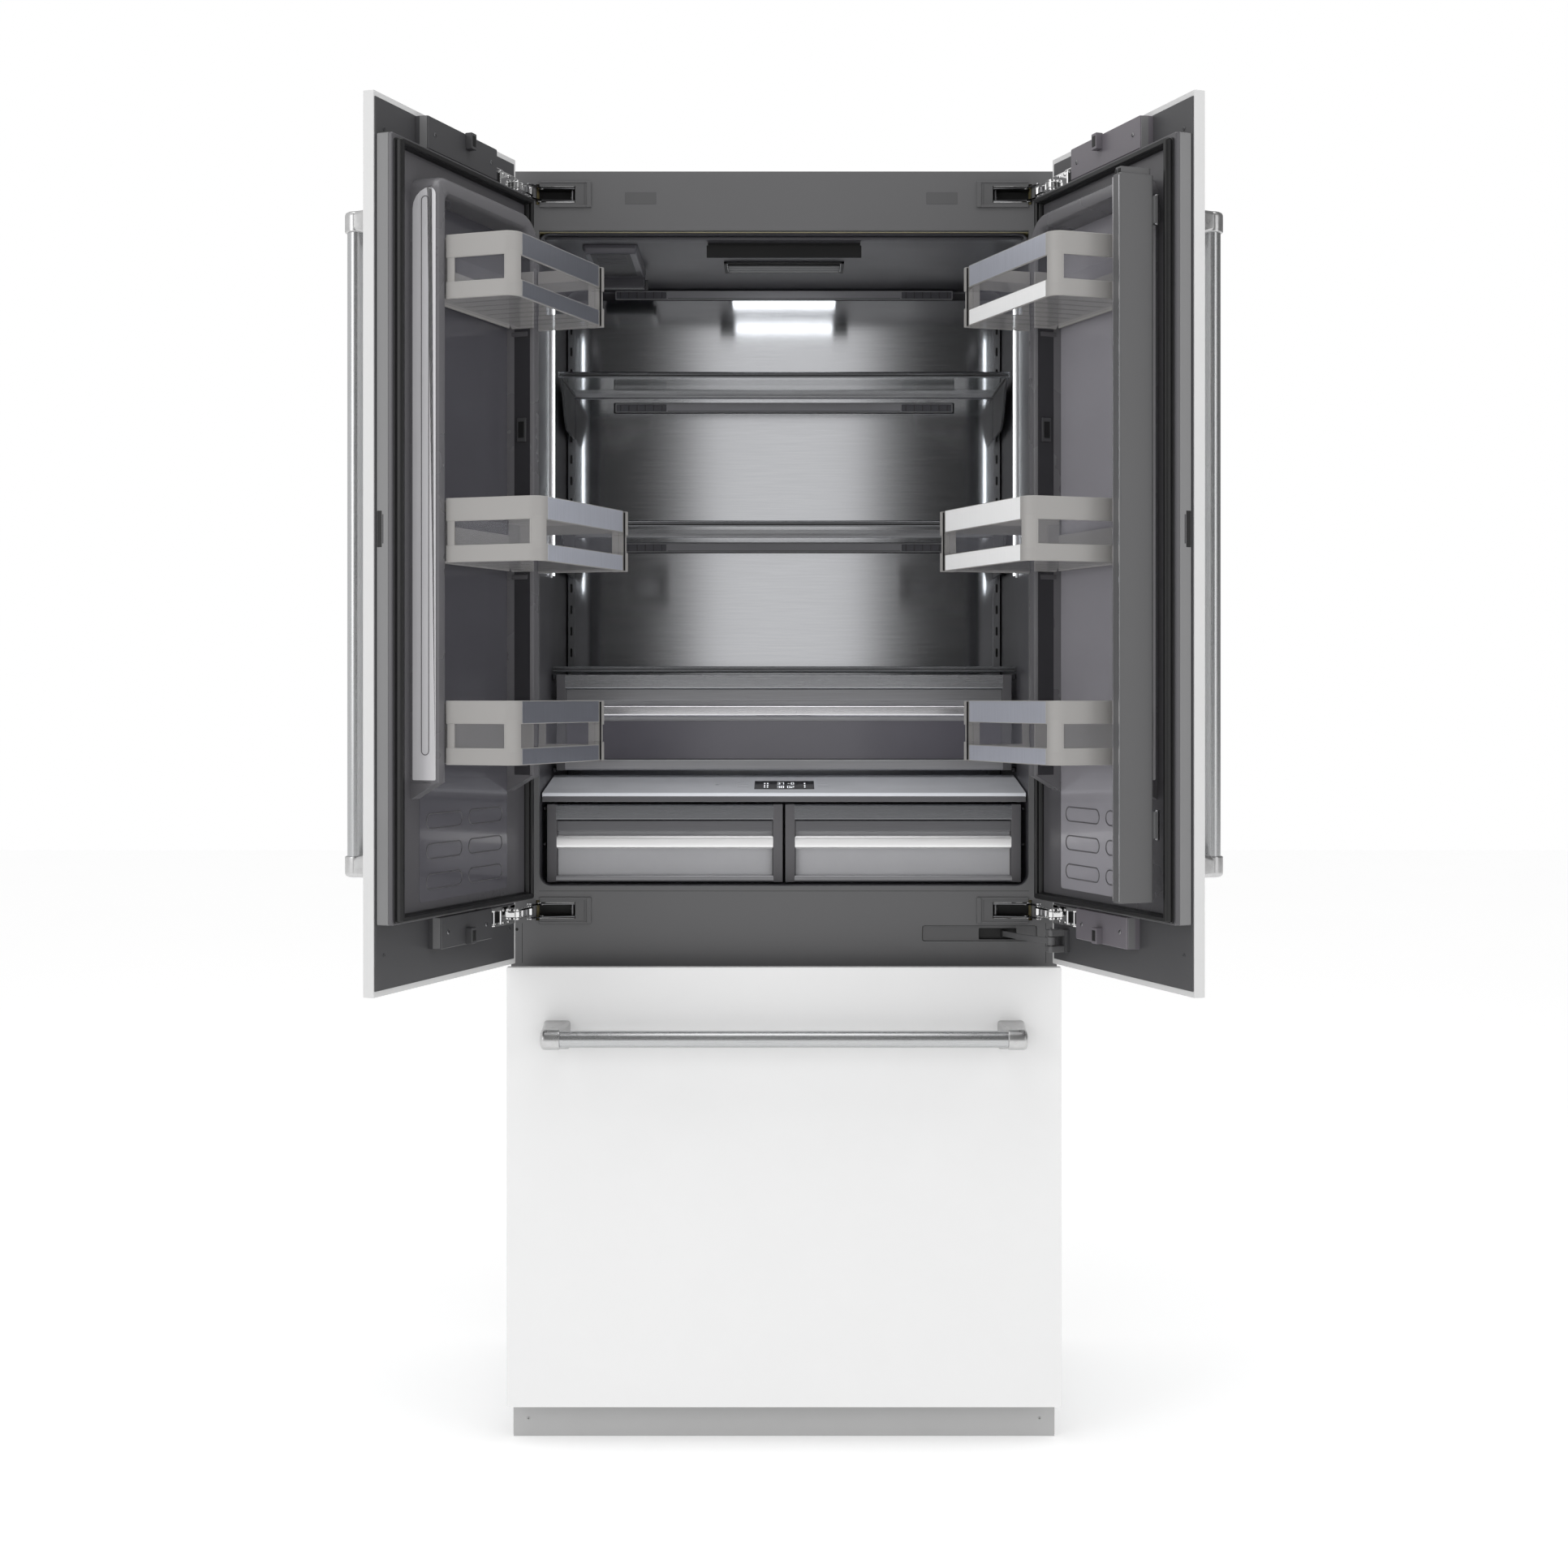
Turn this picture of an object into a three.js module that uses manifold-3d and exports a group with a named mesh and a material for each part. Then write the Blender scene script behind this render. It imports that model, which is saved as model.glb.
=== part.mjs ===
// Built-in french door refrigerator, 36 inches wide: two upper doors standing open, a freezer
// drawer below, and everything that they carry and cover. Millimetres, +Z up.
// The origin is on the floor, under the middle of the cabinet's front face: +X is to the right
// as a person faces the appliance, +Y goes into the cabinet.
import * as THREE from "three";
import * as BufferGeometryUtils from "three/addons/utils/BufferGeometryUtils.js";
import Module from "manifold-3d";

const wasm = await Module();
wasm.setup();

// ---- driving dimensions ----
const GAP = 0.3; // between pieces that touch
const HALF_WIDTH = 451; // of the face frame and of both door panels together
const CABINET_TOP = 2084;
const CABINET_DEPTH = 549; // behind the face plane, y = 0
const CABINET_BOTTOM = 46;
const SHEET = 2; // of the outer cabinet
const LINER = 2.5; // wall of the plastic liners
const FRAME_THICKNESS = 14;

const CAVITY_HALF = 405;
const CAVITY_FLOOR = 903;
const CAVITY_CEILING = 1983;
const DOORWAY_TOP = 1986.5;
const CAVITY_BACK = 482;
const FREEZER_FLOOR = 120;
const FREEZER_STEP = 335; // height of the step over the machine compartment
const FREEZER_STEP_DEPTH = 300;
const FREEZER_CEILING = 745;

const PANEL_THICKNESS = 18;
const PANEL_FRONT = -61; // outer faces of the closed doors
const DOOR_PANEL_BOTTOM = 781;
const DOOR_PANEL_TOP = 2091;
const DOOR_GAP_HALF = 2; // half the gap between the closed doors
const DOOR_BODY_BOTTOM = 886;
const DOOR_BODY_TOP = 2029;
const DOOR_BODY_BACK = -14.5;
const GASKET_BACK = -1.3;
const PIVOT_X = 446; // axis that the hinge links turn each door about
const PIVOT_Y = -50;
const DOOR_OPEN = 110; // degrees
const LIP_DEPTH = 31; // how far the raised lips of the door liner reach past the face plane
const LIP_BOTTOM = 1090;
const LIP_TOP = 1976;

const HINGE_HEIGHTS = [2046, 863]; // upper and lower hinge centres
const LINK_PIN = [-418, -20]; // cabinet pin of the left door's links
const LINK_LENGTH = 49.6;
const LINK_REST = -108.8; // degrees from +X, door open

const BIN_DEPTHS = [146, 187, 146]; // reach of the upper, middle and lower bins behind the face
const BIN_FLOORS = [1796, 1411, 1115];
const BIN_HEIGHT = 95;

const SHELF_FRONT = 195;
const SHELF_TOPS = [1782, 1523];

// ---- finishes ----
function finish(color, roughness, metalness) {
  return new THREE.MeshStandardMaterial({ color, roughness, metalness });
}
const MATTE_WHITE = finish(0xeeeeee, 0.55, 0.1);
const PAINTED_GREY = finish(0x5c5c5c, 0.5, 0.3);
const CABINET_GREY = finish(0x8f9194, 0.5, 0.4);
const KICK_GREY = finish(0xb3b3b3, 0.45, 0.3);
const LINER_GREY = finish(0x4a494d, 0.3, 0);
const FOAM = finish(0xd9cfa6, 0.9, 0);
const RUBBER = finish(0x1b1b1c, 0.85, 0);
const STEEL = finish(0xb9babb, 0.35, 0.9);
const CHROME = finish(0xe0e0e0, 0.12, 1);
const BIN_GREY = finish(0xa5a3a1, 0.5, 0);
const DARK_PLASTIC = finish(0x2b2b2e, 0.4, 0);
const GLASS = finish(0x9aa6a6, 0.05, 0);
const WHITE_PLASTIC = finish(0xf2f4f6, 0.5, 0);
const LIGHT = finish(0xf4f8ff, 0.3, 0);
const CLEAR_PLASTIC = finish(0xb8b8c0, 0.15, 0);
const BLACK_METAL = finish(0x202124, 0.5, 0.6);
const GALVANISED = finish(0x9a9c9e, 0.5, 0.8);
const FIN_METAL = finish(0xbfc3c6, 0.4, 0.9);

// ---- solids ----
function solidOf(geometry) {
  const bare = geometry.clone();
  bare.deleteAttribute("normal");
  bare.deleteAttribute("uv");
  const merged = BufferGeometryUtils.mergeVertices(bare, 1e-4);
  const mesh = new wasm.Mesh({
    numProp: 3,
    vertProperties: Float32Array.from(merged.attributes.position.array),
    triVerts: Uint32Array.from(merged.index.array),
  });
  return new wasm.Manifold(mesh);
}

function geometryOf(solid) {
  const mesh = solid.getMesh();
  const geometry = new THREE.BufferGeometry();
  geometry.setAttribute("position", new THREE.BufferAttribute(mesh.vertProperties, 3));
  geometry.setIndex(new THREE.BufferAttribute(mesh.triVerts, 1));
  geometry.computeVertexNormals();
  return geometry;
}

function joined(...solids) {
  return solids.reduce((whole, next) => whole.add(next));
}

// A block between two x, two y and two z values.
function block(x0, x1, y0, y1, z0, z1) {
  const geometry = new THREE.BoxGeometry(x1 - x0, y1 - y0, z1 - z0);
  geometry.translate((x0 + x1) / 2, (y0 + y1) / 2, (z0 + z1) / 2);
  return solidOf(geometry);
}

const PLAN = new THREE.Matrix4();
const SIDE = new THREE.Matrix4().makeBasis(
  new THREE.Vector3(0, 1, 0),
  new THREE.Vector3(0, 0, 1),
  new THREE.Vector3(1, 0, 0),
);
const FRONT = new THREE.Matrix4().makeBasis(
  new THREE.Vector3(1, 0, 0),
  new THREE.Vector3(0, 0, 1),
  new THREE.Vector3(0, -1, 0),
);

function swept(shape, basis, depth, curveSegments = 4) {
  const geometry = new THREE.ExtrudeGeometry(shape, { depth, bevelEnabled: false, curveSegments });
  geometry.applyMatrix4(basis);
  return geometry;
}

// An outline in x and y, from z0 up to z1.
function planSolid(shape, z0, z1, curveSegments) {
  return solidOf(swept(shape, PLAN, z1 - z0, curveSegments).translate(0, 0, z0));
}

// An outline in y and z, from x0 to x1.
function sideSolid(shape, x0, x1, curveSegments) {
  return solidOf(swept(shape, SIDE, x1 - x0, curveSegments).translate(x0, 0, 0));
}

// An outline in x and z, from y0 to y1.
function frontSolid(shape, y0, y1, curveSegments) {
  return solidOf(swept(shape, FRONT, y1 - y0, curveSegments).translate(0, y1, 0));
}

function outline(points) {
  return new THREE.Shape(points.map(([a, b]) => new THREE.Vector2(a, b)));
}

// A rectangle whose corners are rounded by r, or by one radius for each corner,
// anticlockwise from the lower left.
function roundedRect(a0, a1, b0, b1, r) {
  const [ll, lr, ur, ul] = Array.isArray(r) ? r : [r, r, r, r];
  const shape = new THREE.Shape();
  shape.moveTo(a0 + ll, b0);
  shape.lineTo(a1 - lr, b0);
  if (lr > 0) shape.absarc(a1 - lr, b0 + lr, lr, -Math.PI / 2, 0);
  shape.lineTo(a1, b1 - ur);
  if (ur > 0) shape.absarc(a1 - ur, b1 - ur, ur, 0, Math.PI / 2);
  shape.lineTo(a0 + ul, b1);
  if (ul > 0) shape.absarc(a0 + ul, b1 - ul, ul, Math.PI / 2, Math.PI);
  shape.lineTo(a0, b0 + ll);
  if (ll > 0) shape.absarc(a0 + ll, b0 + ll, ll, Math.PI, 1.5 * Math.PI);
  return shape;
}

function upright(x, y, radius, z0, z1, sides = 16) {
  const geometry = new THREE.CylinderGeometry(radius, radius, z1 - z0, sides);
  geometry.rotateX(Math.PI / 2);
  geometry.translate(x, y, (z0 + z1) / 2);
  return solidOf(geometry);
}

function crosswise(y, z, radius, x0, x1, sides = 16) {
  const geometry = new THREE.CylinderGeometry(radius, radius, x1 - x0, sides);
  geometry.rotateZ(Math.PI / 2);
  geometry.translate((x0 + x1) / 2, y, z);
  return solidOf(geometry);
}

// The same shape on the other side of the plane x = 0.
function mirrored(geometry) {
  const copy = geometry.clone();
  copy.scale(-1, 1, 1);
  const index = copy.index.array;
  for (let i = 0; i < index.length; i += 3) {
    [index[i], index[i + 1]] = [index[i + 1], index[i]];
  }
  copy.computeVertexNormals();
  return copy;
}

// ---- scene graph ----
const refrigerator = new THREE.Group();

function addPiece(name, solid, material, parent = refrigerator) {
  const mesh = new THREE.Mesh(geometryOf(solid), material);
  mesh.name = name;
  parent.add(mesh);
  return mesh;
}

// Left and right pieces are drawn once, as the left one.
function addPair(name, solid, material) {
  const geometry = geometryOf(solid);
  for (const side of ["left", "right"]) {
    const mesh = new THREE.Mesh(side === "left" ? geometry : mirrored(geometry), material);
    mesh.name = `${side}_${name}`;
    refrigerator.add(mesh);
  }
}

// Door pieces are drawn in the closed position of the left door. The group turns them open.
function doorGroup(side) {
  const sign = side === "left" ? -1 : 1;
  const swing = new THREE.Group();
  swing.position.set(sign * PIVOT_X, PIVOT_Y, 0);
  swing.rotation.z = THREE.MathUtils.degToRad(sign * DOOR_OPEN);
  const closed = new THREE.Group();
  closed.position.set(-sign * PIVOT_X, -PIVOT_Y, 0);
  swing.add(closed);
  refrigerator.add(swing);
  return closed;
}
const doors = { left: doorGroup("left"), right: doorGroup("right") };

function addToDoor(side, name, solid, material) {
  const geometry = geometryOf(solid);
  const mesh = new THREE.Mesh(side === "left" ? geometry : mirrored(geometry), material);
  mesh.name = name;
  doors[side].add(mesh);
}

function addToDoors(name, solid, material) {
  for (const side of ["left", "right"]) {
    addToDoor(side, `${side}_${name}`, solid, material);
  }
}

// ---- cabinet ----
const CABINET_HALF = HALF_WIDTH - 2;
const MACHINE_TOP = 322;
const MACHINE_FRONT = 312;

function outerCabinet() {
  const hull = block(-CABINET_HALF, CABINET_HALF, FRAME_THICKNESS + GAP, CABINET_DEPTH,
    CABINET_BOTTOM, CABINET_TOP);
  const inside = block(SHEET - CABINET_HALF, CABINET_HALF - SHEET, 0, CABINET_DEPTH - SHEET,
    CABINET_BOTTOM + SHEET, CABINET_TOP - SHEET);
  const rearWindow = block(-441, 441, CABINET_DEPTH - 10, CABINET_DEPTH + 10,
    CABINET_BOTTOM + SHEET, MACHINE_TOP + 9);
  return hull.subtract(inside).subtract(rearWindow);
}

function stepped(half, front, back, stepBack, floor, step, ceiling) {
  return sideSolid(outline([
    [front, floor], [stepBack, floor], [stepBack, step],
    [back, step], [back, ceiling], [front, ceiling],
  ]), -half, half);
}

// Each compartment's space, grown by a wall thickness. A space that is cut out of a liner starts
// in front of the liner's edge.
const LINER_FRONT = FRAME_THICKNESS + GAP;
const CUT_FRONT = LINER_FRONT - 20;

function freezerSpace(wall, front = LINER_FRONT) {
  return stepped(CAVITY_HALF + wall, front, CAVITY_BACK - 4 + wall, FREEZER_STEP_DEPTH + wall,
    FREEZER_FLOOR - wall, FREEZER_STEP - wall, FREEZER_CEILING + wall);
}

// The fridge compartment's ceiling falls a little over its last part, towards the back wall.
function fridgeSpace(wall, front = LINER_FRONT, side = wall) {
  return sideSolid(outline([
    [front, CAVITY_FLOOR - wall], [CAVITY_BACK + wall, CAVITY_FLOOR - wall],
    [CAVITY_BACK + wall, CAVITY_CEILING - 10 + wall], [345, CAVITY_CEILING + wall],
    [front, CAVITY_CEILING + wall],
  ]), -CAVITY_HALF - side, CAVITY_HALF + side);
}

function hingePocket(height, clearance, back) {
  return block(-410 - clearance, -343 + clearance, -5, back, height - 17 - clearance,
    height + 17 + clearance);
}

function bothSides(solid) {
  return joined(solid, solidOf(mirrored(geometryOf(solid))));
}

function cabinetFoam() {
  let foam = block(-446.6, 446.6, FRAME_THICKNESS + 2 * GAP, CABINET_DEPTH - SHEET - GAP,
    CABINET_BOTTOM + SHEET + GAP, CABINET_TOP - SHEET - GAP);
  foam = foam.subtract(fridgeSpace(LINER + GAP));
  foam = foam.subtract(freezerSpace(LINER + GAP));
  foam = foam.subtract(block(-442, 442, MACHINE_FRONT, 600, 0, MACHINE_TOP));
  for (const height of HINGE_HEIGHTS) {
    foam = foam.subtract(bothSides(hingePocket(height, 2, 34)));
  }
  // the spaces in front of the liners' outer walls
  foam = foam.subtract(block(-CAVITY_HALF - LINER - GAP, CAVITY_HALF + LINER + GAP, 0, 30,
    CAVITY_FLOOR - LINER - GAP, CAVITY_CEILING + LINER + GAP));
  return foam.subtract(block(-CAVITY_HALF - LINER - GAP, CAVITY_HALF + LINER + GAP, 0, 30,
    FREEZER_FLOOR - LINER - GAP, FREEZER_CEILING + LINER + GAP));
}

const CABLE_CHANNEL = { x0: 228, x1: 418, z0: 812, z1: 838 };

function faceFrame() {
  let frame = block(-HALF_WIDTH, HALF_WIDTH, 0, FRAME_THICKNESS, 62, CABINET_TOP);
  const doorway = roundedRect(-CAVITY_HALF, CAVITY_HALF, CAVITY_FLOOR, DOORWAY_TOP, [8, 8, 0, 0]);
  frame = frame.subtract(frontSolid(doorway, -5, 20));
  frame = frame.subtract(block(-CAVITY_HALF, CAVITY_HALF, -5, 20, FREEZER_FLOOR, FREEZER_CEILING));
  for (const height of HINGE_HEIGHTS) {
    frame = frame.subtract(bothSides(hingePocket(height, 0, 20)));
  }
  const channel = CABLE_CHANNEL;
  return frame.subtract(block(channel.x0, channel.x1, -5, FRAME_THICKNESS - 2, channel.z0, channel.z1));
}

function rearSteelPanel() {
  // flat between its two uprights, which are slotted for the shelf hooks
  const front = 463.3;
  let panel = block(-390, 390, 465, 466.5, 1050.5, 1954);
  for (const height of VENT_HEIGHTS.slice(1)) {
    panel = panel.subtract(block(-317, 317, 460, 470, height - 10, height + 10));
  }
  let upright = block(-402, -389, front, 466.5, 1050.5, 1954);
  const pitch = 40;
  for (let z = 1290; z < 1920; z += pitch) {
    upright = upright.subtract(block(-398, -394, 460, 470, z, z + 16));
  }
  return joined(panel, bothSides(upright));
}

// Three outlet bars on one duct behind the steel panel; each bar has a recessed end at each side.
const VENT_HEIGHTS = [1963.5, 1753.5, 1493.5];
function airDuct() {
  let duct = block(-60, 60, 467.5, 478, 1480, 1968);
  for (const height of VENT_HEIGHTS) {
    duct = duct.add(block(-314, 314, 461, 470, height - 8.5, height + 8.5));
  }
  for (const height of VENT_HEIGHTS) {
    duct = duct.subtract(bothSides(block(-312, -219, 455, 464, height - 7, height + 7)));
  }
  return duct.subtract(block(-400, 400, 460, 500, 1971.8, 2000));
}

function filterHousing() {
  const body = block(-342, -249, 100, 341, 1969, CAVITY_CEILING - GAP);
  const heel = block(-342, -249, 325, 341, 1951, 1975);
  const lever = block(-250, -245, 334, 338, 1950, 1968);
  return joined(body, heel, lever);
}

function controlPanel() {
  return sideSolid(outline([
    [24, 1041], [455, 1041], [455, 1050], [226, 1050], [226, 1079], [219, 1079], [24, 1056],
  ]), -402.5, 402.5);
}

function deliCover() {
  const glass = block(-402.5, 402.5, 196, 462, 1263, 1268);
  const trim = block(-402.5, 402.5, 188, 197, 1260, 1269);
  return glass.add(trim);
}

function addCabinet() {
  addPiece("outer_cabinet", outerCabinet(), CABINET_GREY);
  addPiece("cabinet_foam", cabinetFoam(), FOAM);
  addPiece("fridge_liner", fridgeSpace(LINER, LINER_FRONT, 2).subtract(fridgeSpace(0, CUT_FRONT)), LINER_GREY);
  addPiece("freezer_liner", freezerSpace(LINER).subtract(freezerSpace(0, CUT_FRONT)), LINER_GREY);
  addPiece("face_frame", faceFrame(), PAINTED_GREY);
  addPiece("rear_steel_panel", rearSteelPanel(), STEEL);
  addPiece("air_duct", airDuct(), LINER_GREY);
  addPiece("ceiling_lamp", block(-100, 100, 250, 330, 1976, CAVITY_CEILING - GAP), LIGHT);
  addPiece("ceiling_strip", block(-130, 130, 59, 66, 1953, CAVITY_CEILING - GAP), DARK_PLASTIC);
  addPiece("filter_housing", filterHousing(), LINER_GREY);
  addPair("led_strip", block(GAP - CAVITY_HALF, -398, 176, 190, 1422, 1930), LIGHT);
  addPiece("control_panel", controlPanel(), DARK_PLASTIC);
  addPiece("deli_cover", deliCover(), GLASS);
}

// ---- base and machine compartment ----
function toeKick() {
  const half = 445;
  const section = outline([
    [-19, 0], [14, 0], [14, 2], [-17, 2], [-17, 56], [-4, 56], [-4, 58], [-19, 58],
  ]);
  const chamfer = 5;
  const corner = outline([[half - chamfer, -10], [half + 10, -10], [half + 10, chamfer + 10],
    [half, chamfer], [half - chamfer, 0]]);
  return sideSolid(section, -half, half).subtract(bothSides(frontSolid(corner, -30, 20)));
}

// A tray with a rail at each side, on four levelling feet.
function baseFrame() {
  let side = block(421, 435, 30, 540, 30, CABINET_BOTTOM - GAP);
  for (const y of [70, 500]) {
    side = joined(side, upright(398, y, 16, 0, 8), upright(398, y, 6, 7, 30, 10));
  }
  const tray = block(-435, 435, 30, 540, 28, 32);
  return joined(tray, bothSides(side.add(block(390, 430, 30, 540, 29, 31))));
}

function compressor() {
  const profile = [[0, 0], [70, 0], [84, 22], [88, 60], [88, 100], [74, 140], [44, 160], [0, 166]];
  const can = new THREE.LatheGeometry(profile.map(([r, z]) => new THREE.Vector2(r, z)), 24);
  can.rotateX(Math.PI / 2);
  can.translate(-260, 425, 66);
  const feet = block(-360, -160, 395, 455, 52, 70);
  const dischargePipe = upright(-200, 470, 5, 90, 250, 8);
  const pipeBoss = block(-230, -195, 460, 474, 100, 112);
  return joined(solidOf(can), feet, pipeBoss, dischargePipe);
}

const FAN = { x: 75, y: 425, z: 160, hole: 78 };

function condenserUnit() {
  let unit = block(62, 88, 335, 515, 60, 260);
  unit = unit.subtract(crosswise(FAN.y, FAN.z, FAN.hole, 50, 100, 24));
  let coil = block(100, 330, 345, 505, 62, 250);
  for (let x = 110; x < 320; x += 20) {
    coil = coil.subtract(block(x, x + 12, 340, 495, 55, 240));
  }
  const rails = joined(block(86, 104, 335, 350, 60, 76), block(86, 104, 500, 515, 60, 76));
  return joined(unit, coil, rails);
}

function condenserFan() {
  const hub = crosswise(FAN.y, FAN.z, 20, FAN.x - 10, FAN.x + 10, 16);
  const blades = 5;
  let fan = hub;
  for (let i = 0; i < blades; i += 1) {
    const blade = new THREE.BoxGeometry(3, 30, 58);
    blade.rotateZ(0.45);
    blade.translate(0, 0, 43);
    blade.rotateX((i * 2 * Math.PI) / blades);
    blade.translate(FAN.x, FAN.y, FAN.z);
    fan = fan.add(solidOf(blade));
  }
  return fan;
}

function machineCover() {
  let cover = block(-440, 440, CABINET_DEPTH - SHEET, CABINET_DEPTH, 49, 330);
  for (let z = 90; z < 300; z += 24) {
    for (const x of [-330, -110, 110, 330]) {
      cover = cover.subtract(block(x - 90, x + 90, 540, 560, z, z + 8));
    }
  }
  return cover;
}

function freezerEvaporator() {
  let coil = block(-300, 300, 446, 474, 380, 700);
  for (let z = 396; z < 690; z += 26) {
    coil = coil.subtract(block(-290, 290, 440, 466, z, z + 16));
  }
  return coil;
}

function addBase() {
  addPiece("toe_kick", toeKick(), KICK_GREY);
  addPiece("base_frame", baseFrame(), GALVANISED);
  addPiece("compressor", compressor(), BLACK_METAL);
  addPiece("condenser_unit", condenserUnit(), FIN_METAL);
  addPiece("condenser_fan", condenserFan(), DARK_PLASTIC);
  addPiece("machine_cover", machineCover(), GALVANISED);
  addPiece("freezer_evaporator", freezerEvaporator(), FIN_METAL);
}

// ---- concealed hinges ----
// Each hinge has a base in the cabinet, with a pin in front of the face, and a link that turns on it.
function hingeBase(height) {
  const arm = outline([[-407, 26], [-346, 26], [-346, 2], [-400, -3], [-414, -26], [-423, -24],
    [-424, -16], [-411, -1], [-409, 1], [-407, 6]]);
  const plates = [[9.3, 12], [-12, -9.3]].map(([z0, z1]) => planSolid(arm, height + z0,
    height + z1));
  const pin = upright(...LINK_PIN, 3, height - 10, height + 10, 10);
  const web = block(-407, -346, 26, 29, height - 14, height + 14);
  const surround = roundedRect(-404, -318, height - 22, height + 22, 3);
  const slot = block(-412, -343, -5, 2, height - 14, height + 14);
  const flange = frontSolid(surround, -3.3, -GAP).subtract(slot);
  // an upright rib ties the web at the back to the flange on the frame's face
  const rib = joined(block(-344.5, -343.3, -1, 28, height - 13, height + 13),
    block(-347, -343.3, 24, 29, height - 13, height + 13));
  const lug = block(-345, -340, -3, -GAP, height - 13.5, height + 13.5);
  return joined(...plates, pin, web, flange, rib, lug);
}

function hingeLink(height) {
  const [x, y] = LINK_PIN;
  const angle = THREE.MathUtils.degToRad(LINK_REST);
  const plate = roundedRect(-5.5, LINK_LENGTH + 5.5, -5.5, 5.5, 5.4);
  const place = (geometry) => solidOf(geometry.rotateZ(angle).translate(x, y, height));
  const plates = [[5.3, 8.3], [-8.3, -5.3]].map(([z0, z1]) => place(
    swept(plate, PLAN, z1 - z0).translate(0, 0, z0),
  ));
  const barrel = upright(x, y, 5.5, height - 8, height + 8, 12);
  const hole = upright(x, y, 3.4, height - 20, height + 20, 10);
  return joined(...plates, barrel).subtract(hole);
}

function addHinges() {
  HINGE_HEIGHTS.forEach((height, i) => {
    const level = ["upper", "lower"][i];
    addPair(`${level}_hinge_base`, hingeBase(height), CHROME);
    addPair(`${level}_hinge_link`, hingeLink(height), CHROME);
  });
}

// ---- doors, drawn closed and on the left ----
const DOOR_EDGE = -HALF_WIDTH; // hinge edge of the panel
const DOOR_FREE = -DOOR_GAP_HALF;
const PANEL_BACK = PANEL_FRONT + PANEL_THICKNESS;

function doorPanel() {
  return frontSolid(roundedRect(DOOR_EDGE, DOOR_FREE, DOOR_PANEL_BOTTOM, DOOR_PANEL_TOP, 1.5),
    PANEL_FRONT, PANEL_BACK, 2);
}

// The dark sheet on the panel's back, with the blocks that hang the panel and take the hinges.
function mountingPlate(side) {
  const front = PANEL_BACK + GAP;
  const back = front + 1.7;
  let plate = block(DOOR_EDGE + 9, DOOR_FREE - 1.5, front, back, DOOR_PANEL_BOTTOM + 9,
    DOOR_PANEL_TOP - 9);
  const hangers = [
    { x0: -342, x1: -118, z0: DOOR_BODY_TOP + 1.5, z1: 2081, lug: 2057 },
    { x0: -325, x1: -158, z0: 835, z1: DOOR_BODY_BOTTOM - 1.5, lug: 836 },
  ];
  for (const { x0, x1, z0, z1, lug } of hangers) {
    plate = plate.add(block(x0, x1, back - 0.5, -19, z0, z1));
    plate = plate.add(block(-251, -235, -20, -8, lug, lug + 25));
  }
  for (const height of HINGE_HEIGHTS) {
    plate = plate.add(block(-442, -391, back - 0.5, -39.2, height - 16, height + 16));
    plate = plate.add(block(-440.5, -427.5, -40, -33, height - 4.7, height + 4.7));
    plate = plate.add(upright(-434, -33, 6.5, height - 5, height + 5, 14));
  }
  if (side === "right") {
    // two ears, above and below the end of the cable arm
    plate = plate.add(block(-416, -386, back - 0.5, -34, 806, 842));
    for (const z of [806, 832]) {
      plate = plate.add(block(-411, -391, -36, -8, z, z + 10));
    }
    plate = plate.add(upright(...CABLE_PIN, 3, 815, 833, 10));
  }
  return plate;
}

function innerDoor() {
  const left = DOOR_EDGE + 8;
  const right = DOOR_FREE - 4;
  const front = PANEL_BACK + 2.3;
  let body = block(left, right, front, DOOR_BODY_BACK, DOOR_BODY_BOTTOM, DOOR_BODY_TOP);
  body = body.subtract(block(right - 4, right + 4, front - 1, front + 9, 1431, 1484));
  const lip = { x0: -391, x1: -58, wall: 25 };
  const outer = roundedRect(lip.x0, lip.x1, LIP_BOTTOM, LIP_TOP, [12, 12, 30, 60]);
  const inner = roundedRect(lip.x0 + lip.wall, lip.x1 - lip.wall, LIP_BOTTOM - 50, LIP_TOP - 26,
    [0, 0, 16, 30]);
  const lips = frontSolid(outer, DOOR_BODY_BACK - 1, LIP_DEPTH, 5)
    .subtract(frontSolid(inner, DOOR_BODY_BACK - 2, LIP_DEPTH + 5, 5));
  return body.add(lips);
}

function ringGasket(x0, x1, z0, z1, width, front, back) {
  return block(x0, x1, front, back, z0, z1)
    .subtract(block(x0 + width, x1 - width, front - 5, back + 5, z0 + width, z1 - width));
}

// A bar between two cast posts, standing off a panel's face. Drawn along x, centred on z.
const HANDLE = { standoff: 50, barRadius: 13.5, capRadius: 17, capLength: 32, footLength: 43 };

function handle(half, z, face) {
  const y = face - HANDLE.standoff;
  const bar = crosswise(y, z, HANDLE.barRadius, 20 - half, half - 20, 20);
  const post = outline([[-half, face - GAP], [-half, y], [HANDLE.capLength - half, y],
    [HANDLE.footLength - half, face - GAP]]);
  const cap = crosswise(y, z, HANDLE.capRadius, -half, HANDLE.capLength - half, 20);
  const foot = block(-half, HANDLE.footLength - half, face - 8, face - GAP, z - 24, z + 24);
  return bar.add(bothSides(joined(planSolid(post, z - 17, z + 17), cap, foot)));
}

const DOOR_HANDLE = { x: -69, z0: 949, z1: 1932 };

function doorHandle() {
  const { x, z0, z1 } = DOOR_HANDLE;
  const lying = geometryOf(handle((z1 - z0) / 2, 0, PANEL_FRONT));
  lying.rotateY(-Math.PI / 2);
  lying.translate(x, 0, (z0 + z1) / 2);
  return solidOf(lying);
}

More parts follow.
